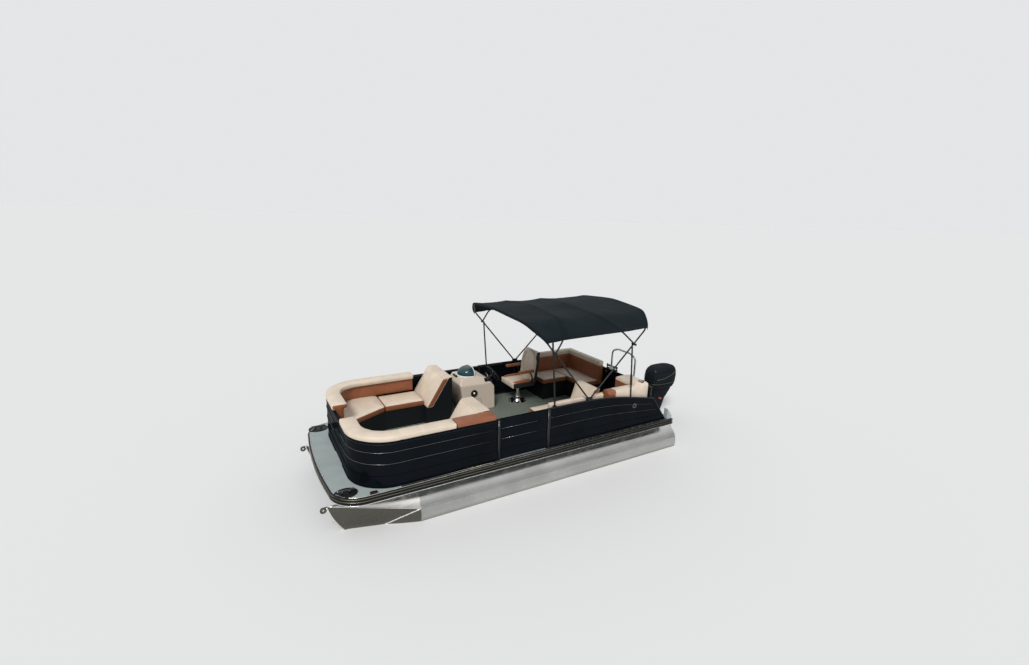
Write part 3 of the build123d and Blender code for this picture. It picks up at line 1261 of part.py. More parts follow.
COWL_SECTIONS = [
    # z, centre behind the steering axis, length, width, corner radius
    (COWL_BOTTOM_Z, 270, 620, 330, 120),
    (COWL_BOTTOM_Z + 90, 285, 700, 400, 150),
    (COWL_BOTTOM_Z + 280, 295, 740, 430, 160),
    (COWL_TOP_Z - 60, 290, 690, 380, 150),
    (COWL_TOP_Z, 260, 500, 240, 100),
]
COWL_WALL = 6
with BuildPart() as cowl:
    for z, behind, length, width, corner in COWL_SECTIONS:
        with BuildSketch(Plane.XY.offset(z)):
            with Locations((STEER_X - behind, 0)):
                RectangleRounded(length, width, corner)
    loft(ruled=True)
    for z, behind, length, width, corner in COWL_SECTIONS:
        trim = COWL_WALL if z < COWL_TOP_Z else 2 * COWL_WALL
        height = min(max(z, COWL_BOTTOM_Z + COWL_WALL), COWL_TOP_Z - COWL_WALL)
        with BuildSketch(Plane.XY.offset(height)):
            with Locations((STEER_X - behind, 0)):
                RectangleRounded(length - 2 * trim, width - 2 * trim, corner - trim)
    loft(ruled=True, mode=Mode.SUBTRACT)
save(cowl, "cowl")

POWERHEAD_FRONT = 60
POWERHEAD_LENGTH = 400
POWERHEAD_HALF = 120
with BuildPart() as powerhead:
    box(
        STEER_X - POWERHEAD_FRONT - POWERHEAD_LENGTH, STEER_X - POWERHEAD_FRONT,
        -POWERHEAD_HALF, POWERHEAD_HALF, COWL_BOTTOM_Z + COWL_WALL, COWL_BOTTOM_Z + 400,
    )
save(powerhead, "powerhead")

PLATE_Z = -150
LEG_BEHIND = 200
LEG_SECTIONS = [
    # z, centre behind the steering axis, length, width
    (COWL_BOTTOM_Z, LEG_BEHIND + 70, 540, 260),
    (520, LEG_BEHIND + 60, 430, 200),
    (100, LEG_BEHIND + 20, 270, 120),
    (PLATE_Z, LEG_BEHIND, 250, 90),
]
GEAR_FRONT_X = STEER_X - 60
GEAR_AFT_X = STEER_X - 400
GEAR_TIP_X = GEAR_FRONT_X + 42
GEAR_TIP_R = 12
PROP_SHAFT_R = 12
SKEG_DEPTH = 240
with BuildPart() as outboard_leg:
    for z, behind, length, width in LEG_SECTIONS:
        with BuildSketch(Plane.XY.offset(z)):
            with Locations((STEER_X - behind, 0)):
                RectangleRounded(length, width, width * 0.45)
    loft(ruled=True)
    box(STEER_X - 58, STEER_X + 60, -120, 120, SWIVEL_LOW - 6, SWIVEL_HIGH + 50, mode=Mode.SUBTRACT)
    for z, thick in ((SWIVEL_HIGH + 6, 44), (SWIVEL_LOW - 56, 50)):
        with BuildSketch(Plane.XY.offset(z)):
            with BuildLine():
                Polyline(
                    (STEER_X, -50), (STEER_X - 160, -60), (STEER_X - 160, 60), (STEER_X, 50), close=True
                )
            make_face()
            with Locations((STEER_X, 0)):
                Circle(50)
        extrude(amount=thick)
    with BuildSketch(Plane.XY.offset(SWIVEL_LOW - 20)):
        with Locations((STEER_X, 0)):
            Circle(KINGPIN_R)
    extrude(amount=SWIVEL_HIGH - SWIVEL_LOW + 40)
    with BuildSketch(Plane.XY.offset(PLATE_Z - 10)):
        with Locations((STEER_X - LEG_BEHIND - 60, 0)):
            SlotOverall(460, 210)
    extrude(amount=12)
    with BuildSketch(Plane.XY.offset(PROP_Z)):
        with Locations((STEER_X - LEG_BEHIND, 0)):
            RectangleRounded(250, 60, 28)
    extrude(amount=PLATE_Z - PROP_Z)
    with BuildSketch(Plane.XZ):
        with BuildLine():
            Polyline(
                (GEAR_AFT_X, PROP_Z), (GEAR_AFT_X, PROP_Z + GEARCASE_R - 8),
                (GEAR_AFT_X + 60, PROP_Z + GEARCASE_R), (GEAR_FRONT_X - 60, PROP_Z + GEARCASE_R),
            )
            ThreePointArc(
                (GEAR_FRONT_X - 60, PROP_Z + GEARCASE_R), (GEAR_FRONT_X + 5, PROP_Z + GEARCASE_R * 0.7),
                (GEAR_TIP_X, PROP_Z + GEAR_TIP_R),
            )
            Polyline((GEAR_TIP_X, PROP_Z + GEAR_TIP_R), (GEAR_TIP_X, PROP_Z), (GEAR_AFT_X, PROP_Z))
        make_face()
    revolve(axis=Axis((0, 0, PROP_Z), (1, 0, 0)))
    with BuildSketch(Plane.XZ.offset(-7)):
        with BuildLine():
            Polyline(
                (GEAR_FRONT_X - 30, PROP_Z), (GEAR_FRONT_X - 160, PROP_Z - SKEG_DEPTH),
                (GEAR_AFT_X + 100, PROP_Z - SKEG_DEPTH), (GEAR_AFT_X + 50, PROP_Z), close=True,
            )
        make_face()
    extrude(amount=14)
    with BuildSketch(Plane.YZ.offset(GEAR_AFT_X + 10)):
        with Locations((0, PROP_Z)):
            Circle(PROP_SHAFT_R)
    extrude(amount=-150)
save(outboard_leg, "outboard_leg")

HUB_FRONT_X = GEAR_AFT_X - 3
HUB_LENGTH = 130
HUB_R = 54
BLADE_PITCH = 32
with BuildPart() as propeller:
    with BuildSketch(Plane.YZ.offset(HUB_FRONT_X)):
        with Locations((0, PROP_Z)):
            Circle(HUB_R)
    extrude(amount=-HUB_LENGTH, taper=4)
    for turn in range(3):
        angle = radians(90 + 120 * turn)
        out = Vector(0, cos(angle), sin(angle))
        across = Vector(1, 0, 0).cross(out)
        pitch = radians(BLADE_PITCH)
        face = Vector(1, 0, 0) * cos(pitch) + across * sin(pitch)
        middle = Vector(HUB_FRONT_X - HUB_LENGTH / 2, 0, PROP_Z) + out * (HUB_R + 62)
        with BuildSketch(Plane(origin=middle, x_dir=out, z_dir=face)):
            Ellipse(PROP_D / 2 - HUB_R - 62, 70)
        extrude(amount=4, both=True)
    with BuildSketch(Plane.YZ.offset(HUB_FRONT_X + 20)):
        with Locations((0, PROP_Z)):
            Circle(PROP_SHAFT_R + PIN_FREE)
    extrude(amount=-HUB_LENGTH - 40, mode=Mode.SUBTRACT)
save(propeller, "propeller")
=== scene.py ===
import json
import math

import bmesh
import bpy
import numpy as np
from mathutils import Matrix, Vector, noise
from mathutils.bvhtree import BVHTree
from mathutils.kdtree import KDTree


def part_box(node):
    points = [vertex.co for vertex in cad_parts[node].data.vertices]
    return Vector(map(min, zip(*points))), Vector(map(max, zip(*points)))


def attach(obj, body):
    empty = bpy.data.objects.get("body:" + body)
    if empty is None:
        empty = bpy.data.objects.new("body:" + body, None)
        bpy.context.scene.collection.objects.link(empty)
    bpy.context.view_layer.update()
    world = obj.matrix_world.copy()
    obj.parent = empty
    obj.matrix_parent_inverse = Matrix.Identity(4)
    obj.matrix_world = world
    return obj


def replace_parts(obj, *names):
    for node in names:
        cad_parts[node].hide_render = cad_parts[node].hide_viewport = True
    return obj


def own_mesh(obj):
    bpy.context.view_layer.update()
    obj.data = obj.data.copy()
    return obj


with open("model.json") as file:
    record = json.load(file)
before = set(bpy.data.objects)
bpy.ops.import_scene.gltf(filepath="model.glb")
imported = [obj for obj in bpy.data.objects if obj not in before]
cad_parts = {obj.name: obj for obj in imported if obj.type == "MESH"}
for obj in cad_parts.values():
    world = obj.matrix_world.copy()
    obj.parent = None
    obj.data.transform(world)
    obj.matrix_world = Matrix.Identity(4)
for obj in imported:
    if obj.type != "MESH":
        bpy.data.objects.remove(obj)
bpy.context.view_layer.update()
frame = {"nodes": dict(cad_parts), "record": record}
SCENE = bpy.context.scene
WORDS = ("port", "starboard")
BOTH = tuple(zip((1, -1), WORDS))
X, Y, Z = 0, 1, 2
UP = Vector((0, 0, 1))
ABEAM = Vector((0, 1, 0))

# Camera solved from the photograph, in the part's own frame
CAMERA_AT = Vector((3.731, 6.890, 4.106))
CAMERA_RIGHT = Vector((-0.86415331, 0.50242702, 0.02839277))
CAMERA_UP = Vector((-0.0934376, -0.21563725, 0.97199279))
FOCAL_PIXELS = 482.1
PHOTO_WIDTH = 1029
SENSOR = 36.0

# Colours, as plain linear values
CREAM = (0.74, 0.63, 0.51)
BROWN = (0.29, 0.098, 0.042)
BLACK = (0.008, 0.009, 0.010)
NAVY = (0.0032, 0.0050, 0.0075)
CANVAS = (0.0045, 0.0092, 0.0128)
ALUMINIUM = (0.54, 0.535, 0.52)
# Pontoon nose: painted shade for its flank and a painted highlight for its top plates
NOSE_FLANK_PAINTED_SHADE = (0.13, 0.125, 0.108)
NOSE_TOP_PAINTED_HIGHLIGHT = (0.80, 0.77, 0.73)
# painted shade: the tube's colour at the water
WATERLINE_PAINTED_SHADE = (0.17, 0.17, 0.15)

# Pontoon tubes: where the nose plates begin, their slope, and where their crease lies above it; above the
# crease the nose has a painted highlight, below it painted shade
NOSE_SEAM_X = 1.800
NOSE_SLOPE = 0.1741
CREASE_FROM, CREASE_TO = -0.113, -0.109
# heights over which the painted shade at the water fades out
LOW_SHADE_FROM, LOW_SHADE_TO = -0.010, 0.075


# Materials
class Nodes:
    """Short calls that add nodes to a tree."""

    def __init__(self, tree):
        self.tree = tree

    def fill(self, socket, value):
        """Link an output to the socket, or set a plain value or colour."""
        if isinstance(value, bpy.types.NodeSocket):
            self.tree.links.new(value, socket)
        else:
            socket.default_value = (*value, 1.0) if socket.type == "RGBA" else value

    def node(self, kind, **inputs):
        made = self.tree.nodes.new("ShaderNode" + kind)
        for name, value in inputs.items():
            self.fill(made.inputs[name.replace("_", " ")], value)
        return made

    def maths(self, operation, a, b, kind="Math"):
        made = self.node(kind)
        made.operation = operation
        self.fill(made.inputs[0], a)
        self.fill(made.inputs[1], b)
        return made.outputs["Value"]


class Shader(Nodes):
    """A Principled material whose textures lie in object coordinates."""

    def __init__(self, name, colour, roughness, **sockets):
        self.material = bpy.data.materials.new(name)
        self.material.use_nodes = True
        super().__init__(self.material.node_tree)
        self.surface = self.tree.nodes["Principled BSDF"]
        self.colour = colour
        self.normal = None
        self.where = self.node("TexCoord").outputs["Object"]
        for socket, value in dict(sockets, Base_Color=colour, Roughness=roughness).items():
            self.put(socket.replace("_", " "), value)

    def put(self, socket, value):
        self.fill(self.surface.inputs[socket], value)

    def noise(self, scale, detail=3.0, stretch=(1, 1, 1)):
        where = self.node("Mapping", Scale=stretch, Vector=self.where).outputs["Vector"]
        return self.node("TexNoise", Scale=scale, Detail=detail, Vector=where).outputs["Fac"]

    def cells(self, scale):
        return self.node("TexVoronoi", Scale=scale, Vector=self.where).outputs["Distance"]

    def bands(self, scale, direction, distortion=0.0):
        made = self.node("TexWave", Scale=scale, Distortion=distortion, Vector=self.where)
        made.bands_direction = direction
        return made.outputs["Fac"]

    def span(self, source, low, high, start=0.3, end=0.7):
        """The source's range from start to end carried over to low and high."""
        made = self.node("MapRange", Value=source, From_Min=start, From_Max=end, To_Min=low, To_Max=high)
        return made.outputs["Result"]

    def mixed(self, share, first, second):
        """A colour between two others."""
        made = self.node("Mix")
        made.data_type = "RGBA"
        for socket, value in zip((0, 6, 7), (share, first, second)):
            self.fill(made.inputs[socket], value)
        return made.outputs[2]

    def tint(self, source, low, high, start=0.3, end=0.7):
        """The colour varied between two shares of itself."""
        share = self.span(source, 0.0, 1.0, start, end)
        made = self.mixed(share, shade(self.colour, low), shade(self.colour, high))
        self.put("Base Color", made)
        return made

    def rough(self, source, low, high):
        self.put("Roughness", self.span(source, low, high))

    def bump(self, height, distance, strength):
        made = self.node("Bump", Distance=distance, Strength=strength, Height=height)
        if self.normal is not None:
            self.fill(made.inputs["Normal"], self.normal)
        self.normal = made.outputs["Normal"]
        self.put("Normal", self.normal)


def shade(colour, share):
    return tuple(min(1.0, c * share) for c in colour)


def vinyl(name, colour):
    skin = Shader(name, colour, 0.42, Coat_Weight=0.08, Coat_Roughness=0.35)
    skin.tint(skin.noise(5, 4), 0.90, 1.06)
    skin.rough(skin.noise(24), 0.36, 0.52)
    skin.bump(skin.noise(16), 0.004, 0.35)
    skin.bump(skin.cells(620), 0.0005, 0.5)
    return skin.material


def gloss_panel(name, colour):
    panel = Shader(name, colour, 0.3, Specular_IOR_Level=0.0, Coat_Weight=0.12, Coat_Roughness=0.08)
    panel.tint(panel.noise(1.6), 0.8, 1.4)
    panel.rough(panel.noise(9, 5), 0.24, 0.40)
    panel.bump(panel.noise(1.3, 2), 0.012, 0.25)
    panel.bump(panel.noise(420, 2), 0.0002, 0.15)
    return panel.material


def powder_coat(name, colour):
    coat = Shader(name, colour, 0.42, Specular_IOR_Level=0.3)
    coat.tint(coat.noise(14), 0.8, 1.3)
    coat.rough(coat.noise(40, 4), 0.34, 0.52)
    coat.bump(coat.noise(1500, 2), 0.0002, 0.5)
    return coat.material


# Stretches of metal grain: drawn along the boat, or upward
ALONG = (0.05, 1, 1)
ROUND = (1, 1, 0.1)
EVEN = (1, 1, 1)


def bare_metal(name, colour, roughness, stretch, smear=0.06):
    metal = Shader(name, colour, roughness, Metallic=1.0)
    metal.tint(metal.noise(2.2, 5), 0.82, 1.04)
    metal.rough(metal.noise(26, 5, stretch), roughness - smear, roughness + smear)
    metal.bump(metal.noise(90, 4, stretch), 0.0004, 0.35)
    metal.bump(metal.noise(2.4, 2), 0.006, 0.2)
    return metal.material


def tube_metal(name, colour):
    """Rolled tube metal: forward of the nose seam, a painted highlight on the nose's top and painted shade on
    its flank below the crease, and a darker band of painted shade at the water.
    """
    metal = Shader(name, colour, 0.3, Metallic=1.0)
    axes = metal.node("SeparateXYZ", Vector=metal.where).outputs
    rolled = metal.tint(metal.noise(2.2, 5), 0.84, 1.06)
    rise = metal.maths("DOT_PRODUCT", metal.where, (-NOSE_SLOPE, 0, 1), "VectorMath")
    # painted highlight above the nose crease, painted shade below it
    nose_highlight_and_shade = metal.mixed(metal.span(rise, 0.0, 1.0, CREASE_FROM, CREASE_TO), NOSE_FLANK_PAINTED_SHADE, NOSE_TOP_PAINTED_HIGHLIGHT)
    ahead = metal.span(axes["X"], 0.0, 1.0, NOSE_SEAM_X, NOSE_SEAM_X + 0.006)
    # painted shade: the tube darker towards the water, with a wavy upper edge
    wavy = metal.maths("ADD", axes["Z"], metal.span(metal.noise(5, 5, ALONG), -0.02, 0.02))
    low_shade = metal.span(wavy, 0.75, 0.0, LOW_SHADE_FROM, LOW_SHADE_TO)
    metal.put("Base Color", metal.mixed(low_shade, metal.mixed(ahead, rolled, nose_highlight_and_shade), WATERLINE_PAINTED_SHADE))
    metal.rough(metal.noise(26, 5, ALONG), 0.20, 0.42)
    metal.bump(metal.noise(90, 4, ALONG), 0.0004, 0.35)
    metal.bump(metal.noise(2.4, 2), 0.006, 0.25)
    return metal.material


def moulded(name, colour, roughness, grain):
    plastic = Shader(name, colour, roughness, Specular_IOR_Level=0.3)
    plastic.tint(plastic.noise(7), 0.88, 1.12)
    plastic.rough(plastic.noise(30), roughness - 0.06, roughness + 0.08)
    plastic.bump(plastic.cells(grain), 0.0003, 0.4)
    return plastic.material


def gelcoat(name, colour):
    shell = Shader(name, colour, 0.30, Coat_Weight=0.35, Coat_Roughness=0.12)
    shell.tint(shell.noise(3), 0.97, 1.03)
    shell.rough(shell.noise(18), 0.26, 0.36)
    shell.bump(shell.noise(700, 2), 0.0002, 0.2)
    return shell.material


def woven_vinyl(name, colour):
    weave = Shader(name, colour, 0.7)
    threads = weave.maths("MULTIPLY", weave.bands(48, "X", 1.0), weave.bands(95, "Y", 1.0))
    weave.tint(weave.maths("ADD", threads, weave.noise(70)), 0.62, 1.4, 0.4, 1.2)
    weave.bump(threads, 0.0012, 0.7)
    return weave.material


def deck_vinyl(name, colour):
    sheet = Shader(name, colour, 0.62)
    sheet.tint(sheet.noise(3.2, 5), 0.9, 1.08)
    sheet.rough(sheet.noise(60), 0.55, 0.75)
    sheet.bump(sheet.cells(260), 0.0008, 0.5)
    return sheet.material


def canvas(name, colour):
    cloth = Shader(name, colour, 0.86, Specular_IOR_Level=0.12, Sheen_Weight=0.02, Sheen_Roughness=0.6)
    cloth.tint(cloth.noise(2.4, 6), 0.85, 1.35)
    cloth.bump(cloth.noise(9, 4, (1.0, 0.35, 1.0)), 0.006, 0.4)
    cloth.bump(cloth.maths("MULTIPLY", cloth.bands(330, "X"), cloth.bands(330, "Y")), 0.0004, 0.6)
    return cloth.material


def acrylic(name, colour):
    screen = Shader(name, colour, 0.06, Transmission_Weight=0.35, IOR=1.3, Coat_Weight=0.3)
    screen.rough(screen.noise(12), 0.04, 0.1)
    return screen.material


def lamp_lens(name, colour):
    lens = Shader(name, colour, 0.1, Transmission_Weight=0.3, IOR=1.5)
    lens.bump(lens.bands(160, "Z"), 0.0006, 0.6)
    return lens.material


LOOK = {name: maker(name, *values) for name, maker, *values in (
    ("bare_aluminium", bare_metal, ALUMINIUM, 0.34, ALONG, 0.12),
    ("tube_metal", tube_metal, ALUMINIUM),
    ("silver_tube", bare_metal, (0.62, 0.63, 0.64), 0.18, ROUND, 0.07),
    ("propeller_steel", bare_metal, (0.62, 0.63, 0.65), 0.22, EVEN, 0.08),
    ("champagne_trim", bare_metal, (0.23, 0.22, 0.165), 0.3, ALONG),
    # bright_edge: bright metal for latches, rings and bolts, and for the painted highlight lines on the
    # pontoon noses
    ("bright_edge", bare_metal, (0.86, 0.86, 0.84), 0.26, ROUND),
    # edge_line: dark metal for the cleats and fuel ring, and for the painted highlight lines on the panel
    # ribs and gate posts
    ("edge_line", bare_metal, (0.20, 0.21, 0.215), 0.22, ALONG),
    ("deck_grey", deck_vinyl, (0.36, 0.42, 0.42)),
    ("woven_floor", woven_vinyl, (0.17, 0.20, 0.17)),
    ("black_trim", moulded, BLACK, 0.38, 700),
    ("black_base", moulded, (0.008, 0.010, 0.012), 0.44, 500),
    ("rubber_grip", moulded, (0.014, 0.014, 0.015), 0.6, 400),
    ("seam_thread", moulded, (0.035, 0.028, 0.024), 0.7, 900),
    ("red_accent", moulded, (0.36, 0.055, 0.022), 0.4, 700),
    ("dial_face", moulded, (0.55, 0.56, 0.56), 0.3, 900),
    ("black_panel", gloss_panel, NAVY),
    ("engine_black", gloss_panel, (0.009, 0.012, 0.015)),
    ("black_frame", powder_coat, BLACK),
    ("engine_block", powder_coat, (0.12, 0.12, 0.13)),
    ("cream_vinyl", vinyl, CREAM),
    ("brown_vinyl", vinyl, BROWN),
    ("black_vinyl", vinyl, (0.016, 0.016, 0.018)),
    ("piping", vinyl, shade(CREAM, 0.8)),
    ("cream_moulding", gelcoat, (0.70, 0.60, 0.50)),
    ("white_rim", gelcoat, (0.80, 0.80, 0.78)),
    ("tinted_screen", acrylic, (0.028, 0.085, 0.105)),
    ("dark_canvas", canvas, CANVAS),
    ("canvas_double", canvas, shade(CANVAS, 0.7)),
    ("green_lens", lamp_lens, (0.006, 0.07, 0.02)),
    ("red_lens", lamp_lens, (0.09, 0.006, 0.005)),
)}
TUBE_NODES = ("pontoon_port", "pontoon_starboard")

for part in frame["record"]["subparts"]:
    worn = frame["nodes"][part["node"]].data.materials
    worn.clear()
    worn.append(LOOK["tube_metal" if part["node"] in TUBE_NODES else part["material_slot"]])


# Mesh helpers
def linked(name, data):
    """A new object in the scene."""
    obj = bpy.data.objects.new(name, data)
    SCENE.collection.objects.link(obj)
    return obj


def piece(name, form, looks, slot=None, body="boat"):
    """A mesh or bmesh as a piece that rides on its body; the slot is not used."""
    mesh = form
    if isinstance(form, bmesh.types.BMesh):
        mesh = bpy.data.meshes.new(name)
        bmesh.ops.recalc_face_normals(form, faces=form.faces)
        form.to_mesh(mesh)
        form.free()
    obj = linked(name, mesh)
    looks = [looks] if isinstance(looks, str) else looks
    mesh.materials.clear()
    for look in looks:
        mesh.materials.append(LOOK[look])
    mesh.polygons.foreach_set("use_smooth", [True] * len(mesh.polygons))
    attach(obj, body)
    slot or looks[0]
    return obj


def circle(count, first=0.0):
    """The cosine and sine of evenly spread angles, from the first one on."""
    angles = (first + math.tau * turn / count for turn in range(count))
    return [(math.cos(angle), math.sin(angle)) for angle in angles]


def add_skin(bm, rows, around=True, closed=False, capped=False):
    """Faces between rows of points, around each row, round to the first row, and over the ends."""
    rows = [[bm.verts.new(point) for point in row] for row in rows]
    for first, second in list(zip(rows, rows[1:])) + [(rows[-1], rows[0])] * closed:
        for k in range(not around, len(first)):
            bm.faces.new((first[k], first[k - 1], second[k - 1], second[k]))
    if capped:
        bm.faces.new(rows[0])
        bm.faces.new(rows[-1][::-1])
    return rows


def add_tube(bm, points, radius, sides=10, closed=False, flat=1.0):
    """A round or flattened tube along the points, with closed ends unless it is a loop."""
    points = [Vector(p) for p in points]
    rings, across = [], None
    for index, point in enumerate(points):
        ahead = points[(index + 1) % len(points)] if closed or index < len(points) - 1 else point
        behind = points[index - 1] if closed or index else point
        run = (ahead - behind).normalized()
        if across is None:
            across = run.cross(UP if abs(run.z) < 0.9 else Vector((1, 0, 0))).normalized()
        else:
            across = (across - run * across.dot(run)).normalized()
        side = run.cross(across) * flat
        rings.append([point + (across * c + side * s) * radius for c, s in circle(sides)])
    add_skin(bm, rings, closed=closed, capped=not closed)


def tubes(name, paths, radius, look, slot=None, body="boat", **options):
    bm = bmesh.new()
    for path in paths:
        add_tube(bm, path, radius, **options)
    return piece(name, bm, look, slot, body)


def add_block(bm, low, high, bevel=0.004, segments=2, turn=Matrix.Identity(3)):
    """A block with rounded edges between two corners."""
    low, high = Vector(low), Vector(high)
    made = bmesh.ops.create_cube(bm, size=1.0)["verts"]
    for vert in made:
        vert.co = turn @ (vert.co * (high - low)) + (low + high) / 2
    edges = list({edge for vert in made for edge in vert.link_edges})
    bmesh.ops.bevel(bm, geom=edges, offset=bevel, segments=segments, affect="EDGES", profile=0.6)


def blocks(name, spans, look, slot=None, body="boat", **options):
    bm = bmesh.new()
    for low, high in spans:
        add_block(bm, low, high, **options)
    return piece(name, bm, look, slot, body)


def add_lathe(bm, profile, seat, sides=32):
    """A turned form: profile is (radius, height) pairs, seat carries its axis +Z to its place."""
    rings = []
    for radius, height in profile:
        turns = circle(sides if radius > 0 else 1)
        rings.append([bm.verts.new(seat @ Vector((radius * c, radius * s, height))) for c, s in turns])
    for rows in zip(rings, rings[1:]):
        for turn in range(sides):
            (a, b), (d, c) = ((row[turn % len(row)], row[(turn - 1) % len(row)]) for row in rows)
            corners = list(dict.fromkeys((a, b, c, d)))
            if len(corners) > 2:
                bm.faces.new(corners)


def lathes(name, profile, seats, look, slot=None, body="boat", **options):
    bm = bmesh.new()
    for seat in seats:
        add_lathe(bm, profile, seat, **options)
    return piece(name, bm, look, slot, body)


def place(at, axis=UP):
    return Matrix.Translation(Vector(at)) @ Vector(axis).to_track_quat("Z", "Y").to_matrix().to_4x4()


def resample(points, step, closed=False):
    points = [Vector(p) for p in points]
    if closed:
        points = points + points[:1]
    made = []
    for a, b in zip(points, points[1:]):
        count = max(1, round((b - a).length / step))
        made += [a.lerp(b, i / count) for i in range(count)]
    return made if closed else made + points[-1:]


def relaxed(points, times, closed=False):
    """The path with its corners rounded by averaging."""
    for _ in range(times):
        following = points[1:] + points[:1]
        made = [(points[i - 1] + p * 2 + following[i]) / 4 for i, p in enumerate(points)]
        points = made if closed else points[:1] + made[1:-1] + points[-1:]
    return points


def eased(points, step, times, closed=False):
    """A path through the points in short steps, with rounded corners."""
    return relaxed(resample(points, step, closed), times, closed)


WELD = 1e-5
SHARP = math.radians(35)


def welded(node):
    bm = bmesh.new()
    bm.from_mesh(frame["nodes"][node].data)
    bmesh.ops.remove_doubles(bm, verts=bm.verts, dist=WELD)
    return bm


def sharp_edges(bm):
    return [e for e in bm.edges if len(e.link_faces) == 2 and e.calc_face_angle(0) > SHARP]


def chains(edges):
    """Ordered paths made of these edges, each with whether it closes."""
    links = {}
    for edge in edges:
        for vert in edge.verts:
            links.setdefault(vert, []).append(edge)
    left = set(edges)
    found = []
    for vert in [v for v in links if len(links[v]) == 1] + list(links):
        path = [vert.co.copy()]
        while edge := next((e for e in links[vert] if e in left), None):
            left.discard(edge)
            vert = edge.other_vert(vert)
            path.append(vert.co.copy())
        closed = len(path) > 3 and (path[0] - path[-1]).length < WELD
        if len(path) > 1:
            found.append((path[:-1] if closed else path, closed))
    return found


# Upholstery
COVER_PRESSURE = 4.0
COVER_FRAMES = 20
EDGE_HELD = 0.015
CROWN_AFTER_CLOTH = 0.35
COVER_INSET = 0.003
CROWN_REACH = 0.07
WRINKLE = 0.0016
WRINKLE_REACH = 0.12
PIPING_RADIUS = 0.0032
CREAM_BROWN = ["cream_vinyl", "brown_vinyl"]


def soft_form(node, voxel, soften):
    """The node's solid as an even mesh with softened edges."""
    bm = welded(node)
    mesh = bpy.data.meshes.new("work")
    bm.to_mesh(mesh)
    bm.free()
    work = linked("work", mesh)
    remesh = work.modifiers.new("voxels", "REMESH")
    remesh.mode = "VOXEL"
    remesh.voxel_size = voxel
    smooth = work.modifiers.new("soften", "SMOOTH")
    smooth.iterations = soften
    smooth.factor = 0.5
    made = bpy.data.meshes.new_from_object(work.evaluated_get(bpy.context.evaluated_depsgraph_get()))
    bpy.data.objects.remove(work)
    return made


def numbers(vertices, what="co"):
    """The vertices' places or normals as an array of rows."""
    flat = np.empty(len(vertices) * 3)
    vertices.foreach_get(what, flat)
    return flat.reshape(-1, 3)


def stuffed(mesh, held, most):
    """The cover blown up from inside, its held points fixed and no point moved further than most."""
    work = linked("work", mesh)
    work.vertex_groups.new(name="held").add(held, 1.0, "REPLACE")
    cover = work.modifiers.new("cover", "CLOTH")
    cover.point_cache.frame_end = COVER_FRAMES
    cloth = cover.settings
    cloth.use_pressure = True
    cloth.uniform_pressure_force = COVER_PRESSURE
    cloth.effector_weights.gravity = 0
    cloth.vertex_group_mass = "held"
    for number in range(1, COVER_FRAMES + 1):
        SCENE.frame_set(number)
    blown = work.evaluated_get(bpy.context.evaluated_depsgraph_get())
    before = numbers(mesh.vertices)
    move = numbers(blown.data.vertices) - before
    length = np.linalg.norm(move, axis=1)
    move *= (most * np.tanh(length / most) / np.maximum(length, 1e-9))[:, None]
    mesh.vertices.foreach_set("co", (before + move).ravel())
    mesh.update()
    bpy.data.objects.remove(work)
    SCENE.frame_set(1)


def edge_tree(edges, step=0.012):
    spots = [spot for edge in edges for spot in resample([v.co for v in edge.verts], step)]
    tree = KDTree(len(spots))
    for index, spot in enumerate(spots):
        tree.insert(spot, index)
    tree.balance()
    return tree


def facing_up(centre, normal):
    """The first look on top, the second round the sides."""
    return 0 if normal.z > 0.45 else 1


def lying(spot, normal):
    return normal.z < -0.6


def upholster(name, node, zone=None, looks=CREAM_BROWN, body="boat", rest=lying, voxel=0.014, soften=7,
              crown=0.012, grooves=(), groove_depth=0.007):
    """A stuffed cover over a soft CAD solid: crowned faces, soft edges, sewn grooves and fine creases.

    zone(centre, normal) gives a face's look, rest(spot, normal) is true where the pad lies on what
    carries it, and grooves are (axis, place) planes of the sewn lines.
    """
    bm = welded(node)
    tree = edge_tree(sharp_edges(bm))
    bm.free()
    mesh = soft_form(node, voxel, soften)
    held = []
    for vert in mesh.vertices:
        sewn = any(abs(vert.co[axis] - at) < voxel * 0.55 for axis, at in grooves)
        if rest(vert.co, vert.normal) or sewn or tree.find(vert.co)[2] < EDGE_HELD:
            held.append(vert.index)
    stuffed(mesh, held, crown)
    crown *= CROWN_AFTER_CLOTH
    spots, normals = numbers(mesh.vertices), numbers(mesh.vertices, "normal")
    lift = np.empty(len(spots))
    for index in range(len(spots)):
        spot, normal = Vector(spots[index]), Vector(normals[index])
        if rest(spot, normal):
            lift[index] = -COVER_INSET * 0.3
            continue
        away = tree.find(spot)[2]
        swell = crown * (1 - math.exp(-(away / CROWN_REACH) ** 2)) - COVER_INSET
        crease = (noise.noise(spot * 11) + noise.noise(spot * 34) * 0.4) * WRINKLE
        lift[index] = swell + crease * math.exp(-away / WRINKLE_REACH)
    for axis, at in grooves:
        lift -= groove_depth * np.exp(-((spots[:, axis] - at) / (voxel * 0.85)) ** 2)
    mesh.vertices.foreach_set("co", (spots + normals * lift[:, None]).ravel())
    mesh.update()
    obj = piece(name, mesh, looks, body=body)
    if zone is not None:
        for face in mesh.polygons:
            face.material_index = zone(face.center, face.normal)
    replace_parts(obj, node)
    return obj


def surface_of(obj):
    bm = bmesh.new()
    bm.from_mesh(obj.data)
    tree = BVHTree.FromBMesh(bm)
    bm.free()
    return tree


